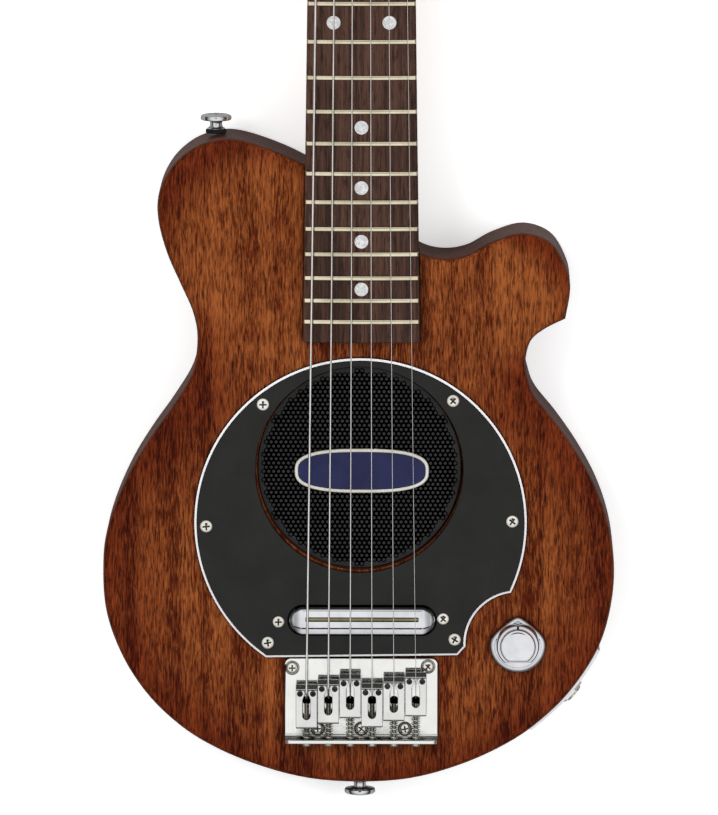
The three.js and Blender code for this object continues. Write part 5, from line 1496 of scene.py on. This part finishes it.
# Amplifier, battery and their covers
# A small amplifier board hangs in the control cavity and a nine-volt battery lies in its own well;
# a screwed plate and a hinged door, both black plastic, close them at the back.
battery_x = battery_middle[0]
terminals_x = -52
cover_low = 0.3
cover_high = 2.3
counterbore = 1.3
cover_screw_seat = 1.2
hinge_y = 4.35
hinge_z = 1.4
hinge_radius = 1.1
hinge_pin_radius = 0.75
hinge_length = 64.1
door_width = 60.1
door_end = 37.85
groove_start = 29.2
groove_pitch = 1.6
groove_length = 22
face_down = (0, 0, -1)


def circuit_board():
    """Green lacquer over copper tracks, with a film of dust here and there."""
    made, tree, shader = material("circuit_board", "1f5a38", 0.35, coat=0.3)
    place = node(tree, "TexCoord").outputs["Object"]
    tracks = node(tree, "TexBrick", {
        "Vector": place, "Scale": 300.0, "Mortar Size": 0.03, "Color1": paint("1d5535"),
        "Color2": paint("236340"), "Mortar": paint("3f7d45"),
    })
    dust = node(tree, "TexNoise", {"Vector": place, "Scale": 250.0, "Detail": 3.0})
    normal = node(tree, "Bump", {"Strength": 0.4, "Distance": 0.03 * mm, "Height": tracks.outputs["Fac"]})
    tree.links.new(
        mixed(tree, between(tree, dust.outputs[0], 0.5, 0.75, 0, 0.4), tracks.outputs["Color"],
              paint("5f6f60")), shader.inputs["Base Color"],
    )
    tree.links.new(between(tree, dust.outputs[0], 0.3, 0.7, 0.3, 0.5), shader.inputs["Roughness"])
    tree.links.new(normal.outputs[0], shader.inputs["Normal"])
    return made


def battery_case():
    """A printed steel can: dark, with a copper-coloured band at the terminals' end."""
    made = hard("battery_case", "26272c", "1e1f23", 0.32, 0.4, smear=0.08, scratch=0.5, relief=0.01)
    tree = made.node_tree
    shader = tree.nodes["Principled BSDF"]
    plain = shader.inputs["Base Color"].links[0].from_socket
    along = node(tree, "SeparateXYZ", {0: node(tree, "TexCoord").outputs["Object"]}).outputs[0]
    band = between(tree, along, terminals_x * mm, (terminals_x + 0.2) * mm)
    tree.links.new(mixed(tree, band, plain, paint("9a6a3a")), shader.inputs["Base Color"])
    return made


def corner_places(middle, across, along):
    """Four places round a middle, one to a corner."""
    return [(middle[0] + side * across, middle[1] + end * along)
            for side, end in ((-1, -1), (1, -1), (1, 1), (-1, 1))]


kept("amp_board", circuit_board())
kept("battery", battery_case())
cover_black = hard(
    "cover_black", "1b1b1d", "161617", 0.42, smear=0.08, scratch=0.6, relief=0.02, grain=0.03,
)
cover_outline = rounded_oblong(*cavity_middle, 61, 57, 14.2, 12)
cover = block(cover_outline, cover_low, cover_high, 0.3, "cover_plate")
cover_holes = corner_places(cavity_middle, 24.5, 22.5)
worked(cover, [block(round_line(x, y, 2.75, 32), 0, counterbore) for x, y in cover_holes])
finished(cover, [cover_black], "rear_cover", sharp=30)
screws("cover_screws", 2.6, 1.0, 0.7, [(x, y, cover_screw_seat) for x, y in cover_holes], face_down)
door_line = arc_points(Vector((hinge_y, hinge_z)), hinge_radius, math.pi / 2, 3 * math.pi / 2, 12)
door_line += [(door_end - 0.65, 0.3), (door_end, 0.6), (door_end, 2.5)]
door = side_cut(door_line, door_width, battery_x, "door_leaf")
hinge_start = (battery_x - hinge_length / 2, hinge_y, hinge_z)
worked(door, [pin(hinge_start, (1, 0, 0), hinge_pin_radius, hinge_length)], "UNION")
worked(door, [
    side_cut([(groove, 0), (groove + 0.8, 0), (groove + 0.4, 0.75)], groove_length, battery_x)
    for groove in (groove_start + row * groove_pitch for row in range(4))
])
finished(door, [cover_black], "battery_door", "battery_door", soften=0.15, sharp=34)
catch = solid("door_catch", [
    [(*point, height) for point in rounded_oblong(battery_x, 36.4, width, 1.6, 0.6, 4)]
    for height, width in ((0.05, 9.4), (0.25, 10), (0.9, 10))
])
finished(catch, [cover_black], body="battery_door")

# Neck plate
# A chromed steel plate with round corners, let in flush at the back; the four long screws that
# hold the neck bear on it.
neck_plate_outline = rounded_oblong(0, neck_plate_y, 50, 40, 5, 10)
neck_plate = block(neck_plate_outline, cover_low, cover_high, 0.35, "neck_plate_steel")
plate_holes = corner_places((0, neck_plate_y), 18, 13)
worked(neck_plate, [block(round_line(x, y, 3.6, 32), 0, cover_screw_seat) for x, y in plate_holes])
finished(neck_plate, [bridge_chrome], "neck_plate", sharp=30)
screws("neck_plate_screws", 3.4, 1.1, 0.8, [(x, y, cover_screw_seat) for x, y in plate_holes], face_down)

# Output jack
# A socket for the cable in the lower treble edge: a curved chromed plate with two wood screws,
# and the threaded tube with its hex nut.
side_z = body_thickness / 2
jack_at = 249
jack_middle = body_outline[jack_at]
jack_along = (body_outline[jack_at + 3] - body_outline[jack_at - 3]).normalized()
jack_out = Vector((jack_along.y, -jack_along.x, 0))
jack_place = Vector((*jack_middle, side_z))
jack_plate_reach = 25.5
jack_plate_low = 8
jack_plate_high = 36
plate_gap = 0.3
plate_outside = 1.8
jack_hole_radius = 4.9
jack_nut_radius = 6.8
tube_radius = 4.7
tube_pitch = 0.55
tube_bore = 3.2
tube_rim = 4.8
tube_end = -20
edge_points = [point for point in body_outline if (point - jack_middle).length < jack_plate_reach]
inner, outer = [], []
for i, point in enumerate(edge_points):
    along = (edge_points[min(i + 1, len(edge_points) - 1)] - edge_points[max(i - 1, 0)]).normalized()
    across = Vector((along.y, -along.x))
    inner.append(point + across * plate_gap)
    outer.append(point + across * plate_outside)
jack_plate = block(inner + outer[::-1], jack_plate_low, jack_plate_high, name="jack_plate")
worked(jack_plate, [pin(jack_place, jack_out, jack_hole_radius, 6, 40)])
finished(jack_plate, [chrome], "output_jack", soften=0.3)
tube_profile = [
    (tube_bore, tube_rim), (tube_bore, tube_end), (0, tube_end), (0, tube_end - 2),
    (tube_radius, tube_end - 2), (tube_radius, plate_outside),
]
for turn in range(5):
    tube_profile += [
        (tube_radius, 1.9 + turn * tube_pitch), (tube_radius - 0.35, 2.2 + turn * tube_pitch),
    ]
tube_profile += [(4.5, 4.6), (4.3, tube_rim), (tube_bore, tube_rim)]
jack_tube = solid("jack_socket", turned(tube_profile, jack_place, jack_out), closed=False)
finished(jack_tube, [nickel], "output_jack", sharp=34)
jack_nut = pin(jack_place + jack_out * plate_outside, jack_out, jack_nut_radius, 2, 6, "jack_nut")
worked(jack_nut, [pin(jack_place, jack_out, tube_radius + 0.05, 8, 40)])
finished(jack_nut, [nickel], "output_jack", soften=0.3)
screw_places, screw_ways = [], []
for share in (0.16, 0.84):
    at = round(share * (len(outer) - 1))
    out = (outer[at] - inner[at]).normalized()
    screw_places.append((*(outer[at] - out * 0.25), side_z))
    screw_ways.append((*out, 0))
screws("jack_screws", 2.7, 1.1, 0.8, screw_places, screw_ways)

# Strap buttons
# Two chromed buttons, one on the upper bass horn and one at the tail, each on a black felt washer
# and held by one wood screw through its middle.
felt = hard("felt", "191919", "242424", 0.95, smear=0.05, scratch=0.0, relief=0.2, grain=0.2)
felt_thickness = 1.8
button_cup = 8.2
washer_profile = [(0, 0), (4.7, 0), (4.9, 0.3), (4.9, 1.5), (4.7, felt_thickness), (0, felt_thickness)]
peg_profile = [
    (0, felt_thickness), (4.2, felt_thickness), (4.3, 2.1), (4.1, 2.5), (3.2, 3.1), (2.95, 3.8), (2.9, 4.8),
    (3.1, 5.4), (3.9, 5.8), (5.4, 6.05), (6.9, 6.25), (7.3, 6.6), (7.4, 7.2), (7.4, 7.7), (7.2, 8.3),
    (6.5, 8.75), (5.4, 9.05), (4.2, 9.15), (3.5, 8.7), (3.4, button_cup), (0, button_cup),
]
for name, place, out in (
    ("upper", Vector((-69.597, 257.92, side_z)), Vector((0, 1, 0))),
    ("lower", Vector((-0.885, -52.9, side_z)), Vector((0, -1, 0))),
):
    washer = solid(f"strap_washer_{name}", turned(washer_profile, place, out, 40), closed=False)
    finished(washer, [felt], f"strap_button_{name}", sharp=50)
    peg = solid(f"strap_peg_{name}", turned(peg_profile, place, out, 56), closed=False)
    finished(peg, [chrome], f"strap_button_{name}", sharp=34)
    screws(f"strap_screw_{name}", 3.2, 1.05, 0.8, [place + out * (button_cup - 0.1)], out)
